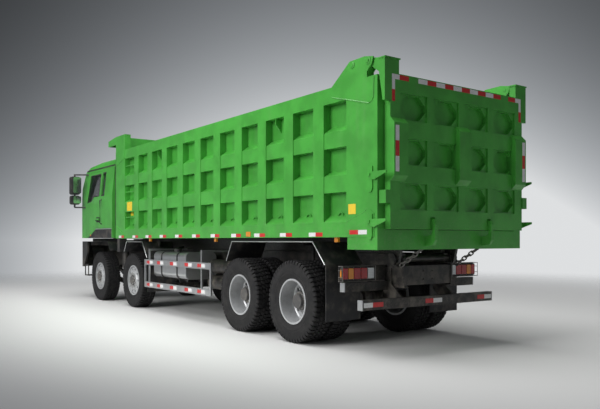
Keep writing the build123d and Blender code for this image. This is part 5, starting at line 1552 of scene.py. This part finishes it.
class TIPPER_OT_chassis_bolts(bpy.types.Operator):
    """Bolt rows on the frame rails, the springs' clamps and the lines between the rear springs' leaves"""

    bl_idname = "tipper.chassis_bolts"
    bl_label = "Chassis Bolts"

    def execute(self, context):
        for label, side in SIDES:
            spots = [(x + across, side * RAIL_FACE, z)
                     for x in BOLT_ROWS for across in (-0.035, 0.035) for z in (0.84, 0.91, 0.98)]
            bolt = hexagon(0.013, side * 0.011)
            bolt_piece("rail_bolts_" + label, bolt, spots, "chassis", 20.0)
        clamps, leaves = Shape(), Shape()
        for side in (1, -1):
            for x, inner, outer, z0, z1, radius in CLAMPS:
                points = ((inner, z0), (inner, z1), (outer, z1), (outer, z0))
                clamps.tube([(x, y, z) for y, z in on_side(side, points)], radius, 8)
            for step in range(1, 7):
                half, z = 0.50 - step * 0.05, 0.790 - step * 0.021
                leaves.box((BOGIE - half, side * 0.4455, z - 0.002), (BOGIE + half, side * 0.5385, z + 0.002))
        clamps.piece("spring_clamps", "chassis", PAINTS["steel"], "chassis_black")
        leaves.piece("spring_leaves", "chassis", PAINTS["plastic"], "chassis_black")
        return {"FINISHED"}


# colour of the painted shade on the floor to the truck's left and behind it
FLOOR_SHADE = (0.15, 0.152, 0.158)
FLOOR_REACH = 90.0
BACKDROP_ACROSS = (-0.635, -0.773, 0.0)   # sideways in the camera's picture
BACKDROP_WIDTH = 0.36    # how far aside the backdrop has fallen by one power of e
BACKDROP_RISE = 6.9      # powers of e that it falls by from level to straight up
BACKDROP_MOST = (1.9, 2.4)   # most that it falls by to the sides and upward
BACKDROP_PEAK = 2.2
BACKDROP_CAP = 0.74      # brightness above which it is cut off
BACKDROP_DARK = (0.93, 1.0, 1.08, 1.0)
BACKDROP_PALE = (1.0, 1.0, 0.99, 1.0)
SKY_LIGHT = (0.92, 0.95, 1.0, 1.0)


class TIPPER_OT_stage(bpy.types.Operator):
    """Sets the floor, the backdrop, the lamps and the camera"""

    bl_idname = "tipper.stage"
    bl_label = "Stage"

    def execute(self, context):
        settings = context.scene.tipper_stage
        scene = context.scene
        scene.view_settings.view_transform = "Standard"
        # The floor's colour darkens to the truck's left and behind it as painted shade, and the floor fades into
        # the backdrop further out
        ground = Finish("pale_floor")
        beside = (ground.y + 1.0).most(0.0)
        along = (ground.x * -0.55).most(0.0)
        floor_painted_shade = (along * along + beside * beside).power(0.5).spread(3.0, 7.0)
        away = (ground.x * ground.x + ground.y * ground.y).power(0.5)
        ground.set(Base_Color=ground.mix(floor_painted_shade, settings.floor, FLOOR_SHADE), Roughness=0.9)
        ground.set(Specular_IOR_Level=0.1, Alpha=away.spread(settings.near, settings.far, 1.0, 0.0))
        mesh = bpy.data.meshes.new("floor")
        reach = FLOOR_REACH
        corners = [(-reach, -reach, 0), (reach, -reach, 0), (reach, reach, 0), (-reach, reach, 0)]
        mesh.from_pydata(corners, [], [(0, 1, 2, 3)])
        floor = bpy.data.objects.new("floor", mesh)
        mesh.materials.append(ground.material)
        scene.collection.objects.link(floor)
        self.sky(scene)
        lamps = (
            # name, energy, size, place, aim
            ("top", settings.top, 11.0, (-1.0, 2.5, 13.0), (-1.0, 0.5, 1.5)),
            ("left", settings.left, 8.0, (-2.0, 14.0, 7.0), (-1.0, 0.5, 1.5)),
            ("behind", settings.behind, 7.0, (-15.0, -3.0, 6.0), (-4.0, 0.0, 1.5)),
        )
        for name, energy, size, place, aim in lamps:
            light = bpy.data.lights.new(name, "AREA")
            light.energy = energy
            light.size = size
            lamp = bpy.data.objects.new(name, light)
            lamp.location = place
            lamp.rotation_euler = (Vector(aim) - Vector(place)).to_track_quat("-Z", "Y").to_euler()
            scene.collection.objects.link(lamp)
        camera = bpy.data.cameras.new("camera")
        camera.sensor_width = 36.0
        camera.lens = settings.lens
        camera.shift_y = settings.rise
        camera.clip_end = 200.0
        holder = bpy.data.objects.new("camera", camera)
        holder.location = settings.eye
        holder.rotation_euler = (pi / 2, 0.0, settings.heading - pi / 2)
        scene.collection.objects.link(holder)
        scene.camera = holder
        return {"FINISHED"}

    def sky(self, scene):
        """A soft even light, with a grey backdrop for the camera and in reflections: bright low down in
        the middle, darker upward and to the sides."""
        world = bpy.data.worlds.new("soft_sky")
        world.use_nodes = True
        tree = world.node_tree
        tree.nodes.clear()
        place = gn(tree, "ShaderNodeTexCoord").outputs["Generated"]
        split = gn(tree, "ShaderNodeSeparateXYZ", {0: place})

        def maths(operation, first, second=0.0):
            return gn(tree, "ShaderNodeMath", {0: first, 1: second}, operation=operation).outputs[0]

        up = maths("MAXIMUM", split.outputs["Z"], 0.0)
        across = gn(tree, "ShaderNodeVectorMath", {0: place, 1: BACKDROP_ACROSS},
                    operation="DOT_PRODUCT").outputs["Value"]
        share = maths("DIVIDE", across, BACKDROP_WIDTH)
        aside = maths("MINIMUM", maths("MULTIPLY", share, share), BACKDROP_MOST[0])
        above = maths("MINIMUM", maths("MULTIPLY", up, BACKDROP_RISE), BACKDROP_MOST[1])
        fade = maths("POWER", E, maths("ADD", above, aside))
        grey = maths("MINIMUM", maths("DIVIDE", BACKDROP_PEAK, fade), BACKDROP_CAP)
        tint = gn(tree, "ShaderNodeMix", {0: grey, 6: BACKDROP_DARK, 7: BACKDROP_PALE}, data_type="RGBA")
        path = gn(tree, "ShaderNodeLightPath")
        seen = maths("MAXIMUM", path.outputs["Is Camera Ray"], path.outputs["Is Glossy Ray"])
        seen = maths("MAXIMUM", seen, path.outputs["Is Transmission Ray"])
        light = gn(tree, "ShaderNodeBackground",
                   {"Color": SKY_LIGHT, "Strength": scene.tipper_stage.sky})
        backdrop = gn(tree, "ShaderNodeBackground", {"Color": tint.outputs[2], "Strength": grey})
        either = gn(tree, "ShaderNodeMixShader", {0: seen, 1: light.outputs[0], 2: backdrop.outputs[0]})
        gn(tree, "ShaderNodeOutputWorld", {0: either.outputs[0]})
        scene.world = world


STEPS = (
    TIPPER_OT_finish_nodes,
    TIPPER_OT_tyres,
    TIPPER_OT_wheel_fittings,
    TIPPER_OT_tapes,
    TIPPER_OT_plates,
    TIPPER_OT_rear_lamps,
    TIPPER_OT_front_lamps,
    TIPPER_OT_tank,
    TIPPER_OT_guard_edges,
    TIPPER_OT_chains,
    TIPPER_OT_bed_fittings,
    TIPPER_OT_cab_trim,
    TIPPER_OT_cab_inside,
    TIPPER_OT_chassis_bolts,
    TIPPER_OT_stage,
)
GROUPS = {"tipper_paint": TIPPER_PG_paint, "tipper_tyre": TIPPER_PG_tyre, "tipper_stage": TIPPER_PG_stage}


class TIPPER_PT_panel(bpy.types.Panel):
    """Settings and steps of the tipper truck"""

    bl_idname = "TIPPER_PT_panel"
    bl_label = "Tipper Truck"
    bl_space_type = "VIEW_3D"
    bl_region_type = "UI"
    bl_category = "Tipper"

    def draw(self, context):
        layout = self.layout
        for key, group in GROUPS.items():
            box = layout.box()
            for name in group.__annotations__:
                box.prop(getattr(context.scene, key), name)
        for step in STEPS:
            layout.operator(step.bl_idname)


def register():
    for cls in (*GROUPS.values(), *STEPS, TIPPER_PT_panel):
        bpy.utils.register_class(cls)
    for key, group in GROUPS.items():
        setattr(bpy.types.Scene, key, bpy.props.PointerProperty(type=group))


def unregister():
    for key in GROUPS:
        delattr(bpy.types.Scene, key)
    for cls in (TIPPER_PT_panel, *reversed(STEPS), *reversed(GROUPS.values())):
        bpy.utils.unregister_class(cls)


def main():
    register()
    TREES["ring"] = ring_tree()
    TREES["row"] = row_tree()
    for step in STEPS:
        group, name = step.bl_idname.split(".")
        getattr(getattr(bpy.ops, group), name)()


if __name__ == "__main__":
    main()
